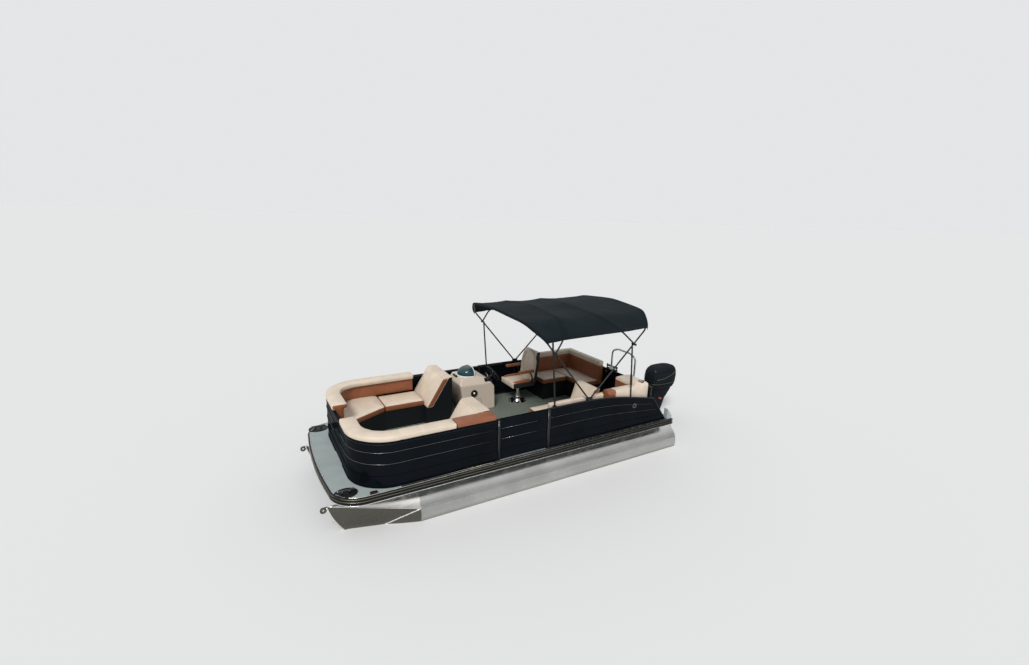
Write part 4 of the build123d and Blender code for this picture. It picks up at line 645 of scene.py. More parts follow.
def piped(name, pad, node, pick, body="boat"):
    """Piping sewn along the node's sharp edges that pick(a, b) accepts by their ends, laid on the pad."""
    bm = welded(node)
    paths = chains([e for e in sharp_edges(bm) if pick(*(v.co for v in e.verts))])
    bm.free()
    skin = surface_of(pad)
    seam = bmesh.new()
    for path, closed in paths:
        laid = []
        for spot in eased(path, 0.014, 3, closed):
            on, out = skin.find_nearest(spot)[:2]
            laid.append(on + out * PIPING_RADIUS * 0.35)
        if len(laid) > 3:
            add_tube(seam, relaxed(laid, 1, closed), PIPING_RADIUS, sides=6, closed=closed)
    return piece(name, seam, "piping", "cream_vinyl", body)


# Sizes read from the frame
DECK_LOW, DECK_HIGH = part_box("deck")
RAIL_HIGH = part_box("rub_rail")[1]
SKIN_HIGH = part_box("fence_skins_port")[1]
GATE_LOW_Y, GATE_HIGH_Y = (corner.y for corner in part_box("bow_gate"))
CONSOLE_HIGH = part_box("console")[1]
DECK_TOP = DECK_HIGH.z

# Where the cushions change colour and are sewn
FENCE_CORNER = 0.560
STERN_BLOCK_DEPTH = 0.330
STERN_BOLSTER_THICK = 0.180
STERN_BAND = 0.260
BOLSTER_SEAM_FORE, BOLSTER_SEAM_AFT = 0.62, 0.50
BACK_CAP_TALL = 0.085
BACK_SEAM_X, BACK_SEAM_Y = -1.72, -0.55
CHAIR_AT = (-0.870, -0.720)


def top_edge(node):
    """Picks the edges round the top of a node."""
    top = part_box(node)[1].z - 0.002
    return lambda a, b: (a.z + b.z) / 2 > top


def build_seats():
    """Every seat cushion of the lounges forward and aft, each over its own CAD solid."""
    for word in WORDS:
        for end in ("bow", "aft"):
            node = f"{end}_lid_{word}"
            low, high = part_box(node)
            leaf = f"{node}_leaf"
            seams = [(Y, (low.y + high.y) / 2)] if end == "aft" else []
            pad = upholster(f"{node}_cushion", node, facing_up, body=leaf, grooves=seams, crown=0.014)
            piped(f"{node}_piping", pad, node, top_edge(node), leaf)
    for name, ending, node in (("bow_seat", "cushions", "bow_seats"),
                               ("aft_seat", "cushion", "aft_seat_starboard")):
        pad = upholster(f"{name}_{ending}", node, facing_up)
        piped(f"{name}_piping", pad, node, top_edge(node))


def build_backs():
    """The slanting lounge backs, with the brown band along their open ends."""
    def end_band(centre, normal):
        return 1 if abs(normal.y) > 0.6 else 0

    def leaning(spot, normal):
        return normal.x < -0.6 or normal.z < -0.6
    for name, ending, node, aft_x in (("bow_back", "cushions", "bow_backs", 0.0),
                                      ("aft_port_back", "cushion", "aft_back_port", -1.40)):
        pad = upholster(f"{name}_{ending}", node, end_band, soften=9, crown=0.018, rest=leaning)
        piped(f"{name}_piping", pad, node, lambda a, b: abs(a.y - b.y) < 0.01 and a.x > aft_x)


def build_side_pads():
    """The aft port pad on the fence, the stern pad of three cushions and the starboard L back."""
    upholster("aft_port_side_pad", "aft_side_pad_port", soften=8, rest=lambda s, n: n.y > 0.6 or n.z < -0.6)
    low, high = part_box("stern_pad_port")
    block_x, band_x = low.x + STERN_BLOCK_DEPTH, high.x - STERN_BAND
    bolster_y = high.y - STERN_BOLSTER_THICK

    def stern_zone(centre, normal):
        on_bolster = centre.x > band_x and centre.y > bolster_y - 0.01 and centre.z > low.z + 0.09
        block_front = normal.x > 0.5 and centre.x < block_x + 0.03 and centre.z < high.z - 0.06
        return 1 if on_bolster or block_front else 0
    upholster("stern_port_pad", "stern_pad_port", stern_zone, voxel=0.013, soften=9, crown=0.014,
              grooves=[(X, band_x), (X, block_x)], groove_depth=0.005)
    cap_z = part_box("aft_back_starboard")[1].z - BACK_CAP_TALL
    upholster("aft_starboard_back_pad", "aft_back_starboard",
              lambda c, n: 0 if c.z > cap_z else 2 if n.y < -0.5 or n.x < -0.5 else 1,
              CREAM_BROWN + ["black_vinyl"], rest=lambda s, n: n.z < -0.6 or n.y < -0.7, soften=9,
              crown=0.014, grooves=[(Z, cap_z), (X, BACK_SEAM_X), (Y, BACK_SEAM_Y)])


def build_bolsters():
    """The padded rail round the bow: cream roll over the fence, brown pad inside it."""
    roll_z = SKIN_HIGH.z + 0.004

    def zone(centre, normal):
        gate_end = abs(normal.y) > 0.55 and min(abs(centre.y - y) for y in (GATE_LOW_Y, GATE_HIGH_Y)) < 0.03
        past_x = max(0.0, centre.x - (SKIN_HIGH.x - FENCE_CORNER))
        past_y = max(0.0, abs(centre.y) - (SKIN_HIGH.y - FENCE_CORNER))
        out = Vector((past_x, math.copysign(past_y, centre.y), 0)) if past_x else Vector((0, centre.y, 0))
        outside = normal.dot(out.normalized()) > 0.2
        return 0 if (centre.z > roll_z and normal.z > -0.5 or outside) and not gate_end else 1
    for word in WORDS:
        node = f"bow_bolster_{word}"
        low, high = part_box(node)
        pad = upholster(f"{node}_pad", node, zone, soften=15, crown=0.019, groove_depth=0.004,
                        grooves=[(X, high.x - BOLSTER_SEAM_FORE), (X, low.x + BOLSTER_SEAM_AFT)])
        piped(f"{node}_piping", pad, node, lambda a, b: abs((a.z + b.z) / 2 - roll_z) < 0.006)
    upholster("bolster_end_pad", "bolster_end_port", looks=["brown_vinyl"], soften=8)


def build_chair_pads():
    """The helm chair's seat and back, cream in front and black behind."""
    def shell_sides(centre, normal):
        return 0 if abs(normal.y) < 0.5 and (normal.z > 0.3 or normal.x > 0.3) else 1
    upholster("helm_chair_pads", "helm_chair", shell_sides, ["cream_vinyl", "black_vinyl"], "chair",
              voxel=0.012, soften=6, crown=0.016, grooves=[(Y, CHAIR_AT[1])])


# Canopy
CANOPY_LOW, CANOPY_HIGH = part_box("canopy")
HOOP_NODES = ("bimini_front_bow", "bimini_front_inner", "bimini_rear_inner", "bimini_rear_frame")
CANOPY_HALF = CANOPY_HIGH.y - 0.004
CROWN_Z = CANOPY_HIGH.z - 0.004
SIDE_HEM = 0.055
SIDE_Z = CANOPY_LOW.z + SIDE_HEM
SHOULDER_SHARE, SHOULDER_DROP = 0.7, 0.060
SAG_TOP = 0.016
SAG_SIDE = 0.016
HEM_RISE = 0.050
HOOP_LIFT = 0.008
POCKET_SHARE = 0.06
POCKET_ROWS = ((0.010, 0.001), (0.017, 0.010), (0.018, 0.036))
ROWS_BETWEEN = 26
BROAD_FOLD, FINE_FOLD, STRAIN_CREASE = 0.012, 0.004, 0.017
CLOTH_THICK = 0.0014


def hoop_at(node):
    """A hoop's crown x and its lean, read from its highest and its outermost high points."""
    points = np.array([v.co for v in frame["nodes"][node].data.vertices])
    top = points[points[:, Z] > points[:, Z].max() - 0.03].mean(axis=0)
    side = points[(abs(points[:, Z] - SIDE_Z) < 0.12) & (abs(points[:, Y]) > 1.1)].mean(axis=0)
    return top[X], (side[X] - top[X]) / (side[Z] - top[Z])


def canopy_point(y, z, hoops, index, share):
    """The place on the sheet of the section's point (y, z), at a share of the way between two hoops."""
    (front, front_lean), (rear, rear_lean) = hoops
    bend = 4 * share * (1 - share)
    low = max(0.0, (CROWN_Z - 0.1 - z) / (CROWN_Z - SIDE_Z))
    hem = min(1.0, max(0.0, (SIDE_Z + 0.02 - z) / (SIDE_HEM + 0.02)))
    x = (front + front_lean * (z - CROWN_Z)) * (1 - share) + (rear + rear_lean * (z - CROWN_Z)) * share
    height = z - bend * SAG_TOP * (1.0 - 0.5 * low) + HOOP_LIFT * (1 - bend)
    height += bend * SAG_SIDE * hem + HEM_RISE * hem * (index + share) / 3
    fold = noise.noise(Vector((x * 1.7 + y * 1.1, y * 2.4 - x, z))) * BROAD_FOLD * (0.35 + 0.65 * bend)
    fold += noise.noise(Vector((x * 6 + y * 4, y * 5, z * 3))) * FINE_FOLD * bend
    strain = noise.noise(Vector(((x - y * 0.9) * 7.5, (x + y) * 0.8, 3.1)))
    fold -= abs(strain) * STRAIN_CREASE * bend * (1.0 if index == 0 else 0.45)
    return Vector((x, y * (1 - 0.006 * bend), height + fold * min(1.0, abs(z - SIDE_Z) * 8)))


def build_canopy():
    """One sheet stretched over four hoops: it sags between them and its side hems curve in."""
    outline = [(CANOPY_HALF, SIDE_Z - SIDE_HEM), (CANOPY_HALF, SIDE_Z),
               (CANOPY_HALF * SHOULDER_SHARE, CROWN_Z - SHOULDER_DROP), (0, CROWN_Z)]
    section = eased([(-y, z, 0) for y, z in outline[:3]] + [(y, z, 0) for y, z in outline[::-1]], 0.03, 22)
    hoops = [hoop_at(node) for node in HOOP_NODES]
    rows = [divmod(step, ROWS_BETWEEN) for step in range(3 * ROWS_BETWEEN)] + [(2, ROWS_BETWEEN)]
    grid = [[canopy_point(p.x, p.y, hoops[index:index + 2], index, step / ROWS_BETWEEN) for p in section]
            for index, step in rows]
    front, rear = ([[p + Vector((ahead * out, 0, -drop)) for p in ends] for out, drop in POCKET_ROWS]
                   for ends, ahead in ((grid[0], 1), (grid[-1], -1)))
    bm = bmesh.new()
    add_skin(bm, front[::-1] + grid + rear, around=False)
    sheet = piece("canopy_sheet", bm, ["dark_canvas", "canvas_double"])
    for number, face in enumerate(sheet.data.polygons):
        row = number // (len(section) - 1) - len(POCKET_ROWS)
        share = (row % ROWS_BETWEEN + 0.5) / ROWS_BETWEEN
        doubled = min(share, 1 - share) < POCKET_SHARE or face.center.z < SIDE_Z + 0.006
        face.material_index = 1 if doubled else 0
    sheet.modifiers.new("cloth_thickness", "SOLIDIFY").thickness = CLOTH_THICK
    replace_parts(sheet, "canopy")
    return sheet


# Deck edge trim
BOW_BULGE = 0.050
DECK_CORNER = 0.380


def rail_path(stand_off, z):
    """The deck's outline, from the port stern corner forward round the bow to the starboard one."""
    half = DECK_HIGH.y + stand_off
    shoulder = DECK_HIGH.x + stand_off - BOW_BULGE
    radius = DECK_CORNER + stand_off
    port = [Vector((DECK_LOW.x, half, z)), Vector((shoulder - radius, half, z))]
    port += [Vector((shoulder - radius * (1 - s), half - radius * (1 - c), z)) for c, s in circle(48)[1:12]]
    shares = (1 - 2 * turn / 8 for turn in range(9))
    bow = [Vector((shoulder + BOW_BULGE * (1 - share ** 2), (half - radius) * share, z)) for share in shares]
    return port + bow + [Vector((p.x, -p.y, p.z)) for p in reversed(port)]


def build_rail_trim():
    edge = RAIL_HIGH.y - DECK_HIGH.y + 0.0005
    for name, stand_off, drop, radius, look in (
        ("rail_stripe_upper", edge, 0.013, 0.0055, "champagne_trim"),
        ("rail_stripe_lower", edge, 0.053, 0.0055, "champagne_trim"),
        ("rail_bright_edge", edge, 0.100, 0.0055, "bright_edge"),
        ("deck_edge_line", -0.003, -0.001, 0.0050, "bright_edge"),
    ):
        tubes(name, [rail_path(stand_off, DECK_TOP - drop)], radius, look, "bare_aluminium", sides=8)


# Pontoon noses, with painted highlight lines along the stem and creases, and tube welds
TUBE_Y = 0.955
TUBE_Z = 0.0995
TUBE_R = 0.3175
NOSE_TIP = (2.945, 0.397)
STEM_MID = (2.775, 0.045)
STEM_FOOT = (2.590, -0.149)
CREASE = (0.302, 0.1976)
STEM_PROUD = 0.018
WELD_XS = (-3.147, -0.300, NOSE_SEAM_X)


def arc_through(a, b, c, stand_off, count=20):
    """Points on the arc through three (x, z) points, moved off it to the outside."""
    a, b, c = (np.array(point) for point in (a, b, c))
    centre = np.linalg.solve([b - a, c - a], [(b @ b - a @ a) / 2, (c @ c - a @ a) / 2])
    reach = math.dist(a, centre) + (stand_off if centre[0] < b[0] else -stand_off)
    first, last = (math.atan2(*(end - centre)[::-1]) for end in (a, c))
    if abs(last - first) > math.pi:
        last += 2 * math.pi if last < first else -2 * math.pi
    angles = (first + (last - first) * k / count for k in range(count + 1))
    return [(centre[0] + reach * math.cos(angle), centre[1] + reach * math.sin(angle)) for angle in angles]


def build_nose_trim():
    for side, word in BOTH:
        centre = side * TUBE_Y
        # painted highlights: bright metal lines along the stem and the nose creases
        stem = [(x, centre, z) for x, z in arc_through(NOSE_TIP, STEM_MID, STEM_FOOT, STEM_PROUD)]
        tubes(f"stem_edge_highlight_{word}", [stem], 0.0125, "bright_edge", "bare_aluminium")
        corners = [(NOSE_SEAM_X, centre + lean * CREASE[0], CREASE[1]) for lean in (-1, 1)]
        for name, (x, z), radius in (("nose_lower_crease_highlights", STEM_FOOT, 0.0110), ("nose_upper_crease_highlights", NOSE_TIP, 0.0070)):
            lines = [resample([(x, centre, z), corner], 0.05) for corner in corners]
            tubes(f"{name}_{word}", lines, radius, "bright_edge", "bare_aluminium", sides=8)
        rings = [[(x, centre + TUBE_R * c, TUBE_Z + TUBE_R * s) for c, s in circle(60)] for x in WELD_XS]
        tubes(f"tube_welds_{word}", rings, 0.0045, "bare_aluminium", sides=6, closed=True)


# Fence trim: the aft panels' top line and rake as (x, z), and the heights of the panel ribs
AFT_TOP = np.array([(-0.25, 1.255), (-0.99, 1.255), (-1.30, 1.244), (-1.63, 1.213), (-1.975, 1.153),
                    (-2.26, 1.098), (-2.52, 1.047)])
RAKE_TOP, RAKE_FOOT = (-2.52, 1.047), (-2.85, 0.600)
RAKE_RAIL = ((-2.52, 1.048), (-2.845, 0.612))
RIB_FRONT_X, RIB_STEP = -0.272, 0.044
FACE_Y = SKIN_HIGH.y - 0.006
GATE_POSTS = ((0.577, 0.612), (-0.300, -0.254))
# x of the painted highlight lines on the gate posts
POST_HIGHLIGHT_XS = (0.607, -0.261)
POST_LOW, POST_HIGH = 0.610, 1.252
GATE_LATCH_X = 0.580
GATE_LATCH_Z = (1.167, 0.675)
LATCH_LOW, LATCH_HIGH = 1.190, 1.222
FUEL_FILL_AT = (-2.066, SKIN_HIGH.y - 0.007, 0.990)
FILL_RING = [(0.043, 0.000), (0.043, 0.006), (0.038, 0.008), (0.030, 0.004)]
FILL_CAP = [(0.030, 0.004), (0.028, 0.008), (0.012, 0.008), (0.010, 0.012), (0, 0.013)]
RIB_SHARES = (0.23, 0.48, 0.74)
FENCE_TALL = 0.655
FENCE_TOP_RAIL = 1.255
FENCE_FACE_Y = 1.225
BOW_FACE_X = 2.640
BOW_AFT_X, BOW_MID_X = 0.620, 1.4
# heights of the painted highlight lines on the upper two ribs
RIB_HIGHLIGHT_HEIGHTS = [FENCE_TOP_RAIL - share * FENCE_TALL + 0.0035 for share in RIB_SHARES[:2]]
SILL_FRONT_X = 2.060


def aft_rib(side, share):
    """A rib of the aft panel, parallel to its top line, until it meets the rake."""
    line = []
    for step in range(60):
        x = RIB_FRONT_X - step * RIB_STEP
        top = float(np.interp(-max(x, RAKE_TOP[0]), -AFT_TOP[:, 0], AFT_TOP[:, 1]))
        z = DECK_TOP + (top - DECK_TOP) * (1 - share)
        down = (RAKE_TOP[1] - z) / (RAKE_TOP[1] - RAKE_FOOT[1])
        if x < RAKE_TOP[0] - down * (RAKE_TOP[0] - RAKE_FOOT[0]) + 0.05:
            return line
        line.append((x, side * (FACE_Y + 0.002), z))
    return line


def build_aft_panels():
    """The ribs of the aft panels, painted highlight lines along the upper two, and the rail along their top
    line.
    """
    for side, word in BOTH:
        ribs = [aft_rib(side, share) for share in RIB_SHARES]
        tubes(f"aft_panel_ribs_{word}", ribs, 0.0048, "black_panel", sides=8)
        # painted highlight lines along the upper two ribs
        lines = [[(x, y + side * 0.0032, z + 0.0030) for x, y, z in rib] for rib in ribs[:2]]
        tubes(f"aft_panel_highlight_lines_{word}", lines, 0.0018, "edge_line", "black_panel", sides=6)
        rail_y = side * (SKIN_HIGH.y - 0.020)
        top = eased([(x, rail_y, z + 0.001) for x, z in AFT_TOP], 0.06, 4)
        top += resample([(x, rail_y, z) for x, z in RAKE_RAIL], 0.06)[1:]
        tubes(f"aft_top_rail_{word}", [top], 0.019, "black_frame", flat=0.55)


def build_port_gate_trim():
    posts = [((x0, FACE_Y - 0.002, POST_LOW), (x1, FACE_Y + 0.012, POST_HIGH)) for x0, x1 in GATE_POSTS]
    blocks("port_gate_posts", posts, "black_frame")
    # painted highlight lines down the gate posts
    lines = [[(x, FACE_Y + 0.0125, z) for z in (POST_LOW + 0.008, POST_HIGH - 0.006)] for x in POST_HIGHLIGHT_XS]
    tubes("gate_post_highlight_lines", lines, 0.0030, "edge_line", "black_frame", sides=8)
    latches = [((GATE_LATCH_X, FACE_Y + 0.008, z - 0.024), (GATE_LATCH_X + 0.018, FACE_Y + 0.020, z + 0.024))
               for z in GATE_LATCH_Z]
    blocks("port_gate_latches", latches, "black_trim", bevel=0.003)


def build_fuel_filler():
    seat = place(FUEL_FILL_AT, ABEAM)
    lathes("fuel_fill_ring", FILL_RING, [seat], "edge_line", "silver_tube", sides=36)
    lathes("fuel_fill_cap", FILL_CAP, [seat], "black_trim", sides=36)


def build_end_gate_latches():
    for end, corner, near, far in (("bow", 0, 0.004, 0.018), ("stern", 1, -0.016, -0.004)):
        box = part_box(f"{end}_gate")
        x, y = box[corner].x, box[0].y
        blocks(f"{end}_gate_latch", [((x + near, y + 0.010, LATCH_LOW), (x + far, y + 0.060, LATCH_HIGH))],
               "bright_edge", "silver_tube", f"{end}_gate_leaf", bevel=0.003)


def bow_path(gate_edge, side, stand_off, z):
    """Along a bow section's skin, from its aft end round the corner to the bow gate."""
    half, front = FENCE_FACE_Y + stand_off, BOW_FACE_X + stand_off
    radius = FENCE_CORNER + stand_off
    path = [Vector((x, side * half, z)) for x in (BOW_AFT_X, BOW_MID_X, front - radius)]
    for c, s in circle(64)[1:17]:
        path.append(Vector((front - radius * (1 - s), side * (half - radius * (1 - c)), z)))
    return path + [Vector((front, gate_edge, z))]


def build_band_lines():
    """Painted highlights: lighter metal lines along the upper edges of the panel ribs."""
    for (side, word), gate_edge in zip(BOTH, (GATE_HIGH_Y + 0.02, GATE_LOW_Y - 0.02)):
        ribs = [bow_path(gate_edge, side, 0.0052, z) for z in RIB_HIGHLIGHT_HEIGHTS]
        tubes(f"bow_band_highlight_lines_{word}", ribs, 0.0026, "edge_line", "black_panel", sides=8)
        rail = bow_path(gate_edge, side, 0.0005, FENCE_TOP_RAIL - 0.036)
        tubes(f"bow_rail_line_{word}", [rail], 0.0030, "black_frame", "black_panel", sides=8)
    for name, ends, y, body in (
        ("gate_band_highlight_lines", (-0.235, 0.558), SKIN_HIGH.y - 0.0008, "port_gate_leaf"),
        ("helm_side_highlight_lines", (-0.228, 0.553), -FENCE_FACE_Y - 0.0052, "boat"),
    ):
        lines = [[(x, y, z) for x in ends] for z in RIB_HIGHLIGHT_HEIGHTS]
        tubes(name, lines, 0.0026, "edge_line", "black_panel", body, sides=8)


def build_side_sills():
    """The black sills that cover the side decks, with a line along them."""
    sills, lines = [], []
    for side in (1, -1):
        inner, outer = sorted((side * (SKIN_HIGH.y + 0.008), side * (DECK_HIGH.y - 0.001)))
        sills.append(((DECK_LOW.x + 0.04, inner, DECK_TOP - 0.003), (SILL_FRONT_X, outer, DECK_TOP + 0.006)))
        line_y = side * (SKIN_HIGH.y + 0.004)
        lines.append([(x, line_y, DECK_TOP + 0.003) for x in (DECK_LOW.x + 0.05, SILL_FRONT_X)])
    blocks("side_deck_sills", sills, "black_trim", bevel=0.003)
    tubes("side_deck_lines", lines, 0.0045, "champagne_trim", "bare_aluminium", sides=8)


# Deck hardware
CAP_X, CAP_Y = 2.740, 1.085
CAP_LONG, CAP_WIDE = 0.146, 0.116
CLEAT_REACH = 0.1075
CLEAT_POSTS = 0.045
CLEAT_Z, CLEAT_RISE = 0.649, 0.003
POST_ZS = (0.606, 0.645)
CAP_RIM_Z = 0.6095
LENS_DEEP = 0.012


def build_bow_caps():
    """The cleats on the bow corner caps, and the caps' rims."""
    horns, posts, rims = [], [], []
    for side in (-1, 1):
        y = side * CAP_Y
        horns.append([(CAP_X + share * CLEAT_REACH, y, CLEAT_Z + CLEAT_RISE * (abs(share) > 0.9))
                      for share in (-1, -0.8, -0.4, 0, 0.4, 0.8, 1)])
        posts += [[(CAP_X + end * CLEAT_POSTS, y, z) for z in POST_ZS] for end in (-1, 1)]
        rims.append([(CAP_X + CAP_LONG * c, side * (CAP_Y + CAP_WIDE * s), CAP_RIM_Z) for c, s in circle(45)])
    tubes("bow_cleat_horns", horns, 0.0145, "edge_line", "silver_tube", flat=0.8)
    tubes("bow_cleat_posts", posts, 0.0138, "edge_line", "silver_tube", sides=12)
    tubes("bow_cap_rims", rims, 0.0045, "black_trim", closed=True, sides=8)


def build_nav_lenses():
    low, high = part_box("nav_lights")
    for (side, word), look in zip(BOTH, ("red_lens", "green_lens")):
        inner, outer = sorted((side * high.y, side * (high.y - LENS_DEEP)))
        span = (low.x + 0.012, inner, low.z + 0.010), (high.x - 0.012, outer + 0.0005, high.z - 0.008)
        blocks(f"nav_lens_{word}", [span], look, "black_trim")


# Helm
DASH_AT = Vector((-0.235, -0.800, 1.115))
DASH_LEAN = math.radians(35)
DASH_NORMAL = Vector((-math.cos(DASH_LEAN), 0, math.sin(DASH_LEAN)))
# place across the dash, radius
DIALS = ((-0.118, 0.024), (0.118, 0.024), (-0.066, 0.015), (0.066, 0.015))
WHEEL_HUB = 0.162
SCREEN_Y = -0.900
SCREEN_AFT_X = 0.070
SCREEN_DEPTH = 0.245
SCREEN_HALF = 0.200
SCREEN_TALL = 0.150
DOME_FULLNESS = 0.6
SPEAKER_X, SPEAKER_Z = 0.130, 0.960
SPEAKER_RING = [(0.064, -0.012), (0.066, 0.004), (0.058, 0.010), (0.049, 0.006), (0.047, -0.002)]
SPEAKER_CONE = [(0.047, 0.000), (0.030, 0.003), (0.020, 0.006), (0.018, 0.012), (0.010, 0.018), (0, 0.020)]
HATCH_X, HATCH_Z = (-0.02, 0.27), (0.66, 0.84)
THROTTLE_X, THROTTLE_Y = -0.155, CONSOLE_HIGH.y - 0.045


def dome_at(around, up, grow=0.0):
    """A point of the windscreen's bubble: around from port to starboard, up from its foot to its crown."""
    reach = math.cos(up) ** DOME_FULLNESS
    x = SCREEN_AFT_X + (SCREEN_DEPTH + grow) * math.cos(around) ** 0.8 * reach
    y = SCREEN_Y + (SCREEN_HALF + grow) * math.sin(around) * reach
    return Vector((x, y, CONSOLE_HIGH.z + (SCREEN_TALL + grow) * math.sin(up)))


def build_windscreen():
    """A tinted bubble, open to the helm, in a white frame."""
    bm = bmesh.new()
    side = math.pi / 2
    rows = [[dome_at(math.pi * (k / 40 - 0.5), side * row / 20) for k in range(41)] for row in range(20)]
    last = add_skin(bm, rows, around=False)[-1]
    crown = bm.verts.new(dome_at(0, side))
    for first, second in zip(last, last[1:]):
        bm.faces.new((second, first, crown))
    glass = piece("windscreen_bubble", bm, "tinted_screen")
    glass.modifiers.new("wall", "SOLIDIFY").thickness = 0.004
    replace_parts(glass, "windscreen")
    foot = [dome_at(math.pi * (k / 48 - 0.5), 0, 0.006) + UP * 0.005 for k in range(49)]
    arch = [dome_at(-side, side * k / 20, 0.003) for k in range(20)]
    arch += [dome_at(side, side * k / 20, 0.003) for k in range(20, -1, -1)]
    tubes("windscreen_frame", [foot], 0.013, "white_rim", "cream_moulding", flat=0.8)
    tubes("windscreen_arch", [relaxed(arch, 2)], 0.0075, "white_rim", "cream_moulding", sides=12)


def build_dash():
    """The dials in their bright rings, and the cap on the wheel's hub."""
    rings, faces = bmesh.new(), bmesh.new()
    for offset, radius in DIALS:
        seat = place(DASH_AT + ABEAM * offset + DASH_NORMAL * 0.019, DASH_NORMAL)
        profile = [(radius, 0), (radius + 0.001, 0.006), (radius - 0.003, 0.007), (radius - 0.005, 0.003)]
        add_lathe(rings, profile, seat, 28)
        add_lathe(faces, [(radius - 0.004, 0.0015), (radius * 0.5, 0.0028), (0, 0.0030)], seat, 24)
    piece("dash_dial_rings", rings, "bright_edge", "silver_tube")
    piece("dash_dial_faces", faces, "dial_face", "black_trim")
    lathes("wheel_hub_cap", [(0.040, 0.006), (0.038, 0.014), (0.026, 0.020), (0, 0.022)],
           [place(DASH_AT + DASH_NORMAL * WHEEL_HUB, DASH_NORMAL)], "silver_tube", body="wheel")


def build_throttle():
    x, y = THROTTLE_X, THROTTLE_Y
    blocks("throttle_box", [((x - 0.06, y - 0.03, 1.120), (x + 0.06, y + 0.03, 1.205))], "black_trim",
           bevel=0.012)
    lever = eased([(x, y + 0.034, 1.165), (x + 0.01, y + 0.038, 1.27), (x + 0.01, y - 0.03, 1.285)], 0.012, 5)
    tubes("throttle_lever", [lever], 0.0085, "silver_tube", sides=12)
    lathes("throttle_grip", [(0, -0.002), (0.016, 0.0), (0.019, 0.02), (0.017, 0.055), (0, 0.060)],
           [place((x + 0.01, y, 1.285), -ABEAM)], "rubber_grip", sides=20)


def build_console():
    """The moulded console with its rounded edges, vent, speaker and hatch seam."""
    shell = piece("console_shell", soft_form("console", 0.011, 12), "cream_moulding")
    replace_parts(shell, "console")
    build_windscreen()
    top, side_y = CONSOLE_HIGH.z, CONSOLE_HIGH.y
    blocks("console_vent", [((0.335, -1.02, top - 0.012), (0.375, -0.86, top + 0.003))], "black_trim")
    seat = place((SPEAKER_X, side_y + 0.010, SPEAKER_Z), ABEAM)
    lathes("speaker_ring", SPEAKER_RING, [seat], "black_trim", sides=40)
    lathes("speaker_cone", SPEAKER_CONE, [seat], "bright_edge", "black_trim")
    (x0, x1), (z0, z1) = HATCH_X, HATCH_Z
    corners = [(x, side_y + 0.0015, z) for x, z in ((x0, z0), (x1, z0), (x1, z1), (x0, z1))]
    skin = surface_of(shell)
    hatch = [skin.find_nearest(spot)[0] for spot in eased(corners, 0.012, 6, True)]
    tubes("console_hatch_seam", [hatch], 0.0025, "seam_thread", "cream_moulding", closed=True, sides=6)


# Helm chair
ARM_Y = 0.245
CHAIR_BACK = [
    # aft of the chair's centre, to its side, height
    (0.205, 0.190, 1.100),
    (0.245, 0.200, 1.420),
    (0.262, 0.150, 1.565),
    (0.266, 0.000, 1.590),
]


def build_chair_parts():
    """The chair's arm rests, and the rolls round its seat and back."""
    x, y = CHAIR_AT
    pads, stems, rolls = bmesh.new(), [], []
    for side in (-1, 1):
        arm_y, edge_y = y + side * ARM_Y, y + side * 0.205
        add_block(pads, (x - 0.20, arm_y - 0.032, 1.235), (x + 0.13, arm_y + 0.032, 1.285), 0.020, 5)
        stems.append(eased([(x - 0.15, arm_y, 1.03), (x - 0.17, arm_y + side * 0.005, 1.15),
                            (x - 0.10, arm_y + side * 0.002, 1.245)], 0.02, 5))
        rolls.append(eased([(x - 0.14, edge_y, 1.062), (x + 0.12, edge_y, 1.060),
                            (x + 0.205, y + side * 0.190, 1.040)], 0.02, 4))
    piece("chair_arm_pads", pads, "brown_vinyl", body="chair")
    tubes("chair_seat_rolls", rolls, 0.038, "brown_vinyl", body="chair", sides=20, flat=0.85)
    back = [(x - aft, y - out, z) for aft, out, z in CHAIR_BACK]
    back += [(x - aft, y + out, z) for aft, out, z in CHAIR_BACK[-2::-1]]
    tubes("chair_back_roll", [eased(back, 0.025, 10)], 0.040, "cream_vinyl", body="chair", sides=20)
    tubes("chair_arm_stems", stems, 0.013, "black_frame", body="chair", sides=12)


def build_pedestal_trim():
    x, y = CHAIR_AT
    collar = [(0.043, 0.10), (0.052, 0.10), (0.056, 0.075), (0.060, 0.02), (0.078, 0.012), (0.080, 0)]
    lathes("pedestal_collar", collar, [place((x, y, 0.618))], "silver_tube", sides=36)
    bolt = [(0.010, 0), (0.010, 0.005), (0.006, 0.008), (0, 0.009)]
    seats = [place((x + 0.14 * c, y + 0.14 * s, 0.617)) for c, s in circle(6, math.radians(30))]
    lathes("pedestal_bolts", bolt, seats, "bright_edge", "silver_tube", sides=12)


# Lounge back caps and cup holder
BACK_CAPS = [
    # side, inner y, outer y, top z, rear x, front x
    (-1, 0.400, 1.184, 1.400, 0.634, 0.815),
    (1, 0.400, 1.006, 1.322, 0.634, 0.860),
]
CUP_HOLDER_AT = (-2.320, 1.085, 1.356)


def build_lounge_trim():
    caps = bmesh.new()
    for side, inner, outer, top, rear, front in BACK_CAPS:
        y0, y1 = sorted((side * inner, side * outer))
        add_block(caps, (rear, y0 + 0.004, top - 0.030), (front - 0.02, y1 - 0.004, top + 0.014), 0.020, 6)
    piece("lounge_back_caps", caps, "cream_vinyl")
    cup = [(0.050, 0.000), (0.052, 0.006), (0.044, 0.008), (0.040, 0.004), (0.039, -0.050), (0, -0.052)]
    lathes("stern_cup_holder", cup, [place(CUP_HOLDER_AT)], "black_trim")


# Bimini fittings
KNEES = {"front_bow": (-0.340, 2.130), "boat": (-1.940, 2.100)}
KNEE_Y = 1.238
REAR_LEG = (Vector((-2.010, 1.172, 1.133)), Vector((-1.940, 1.172, 2.100)))


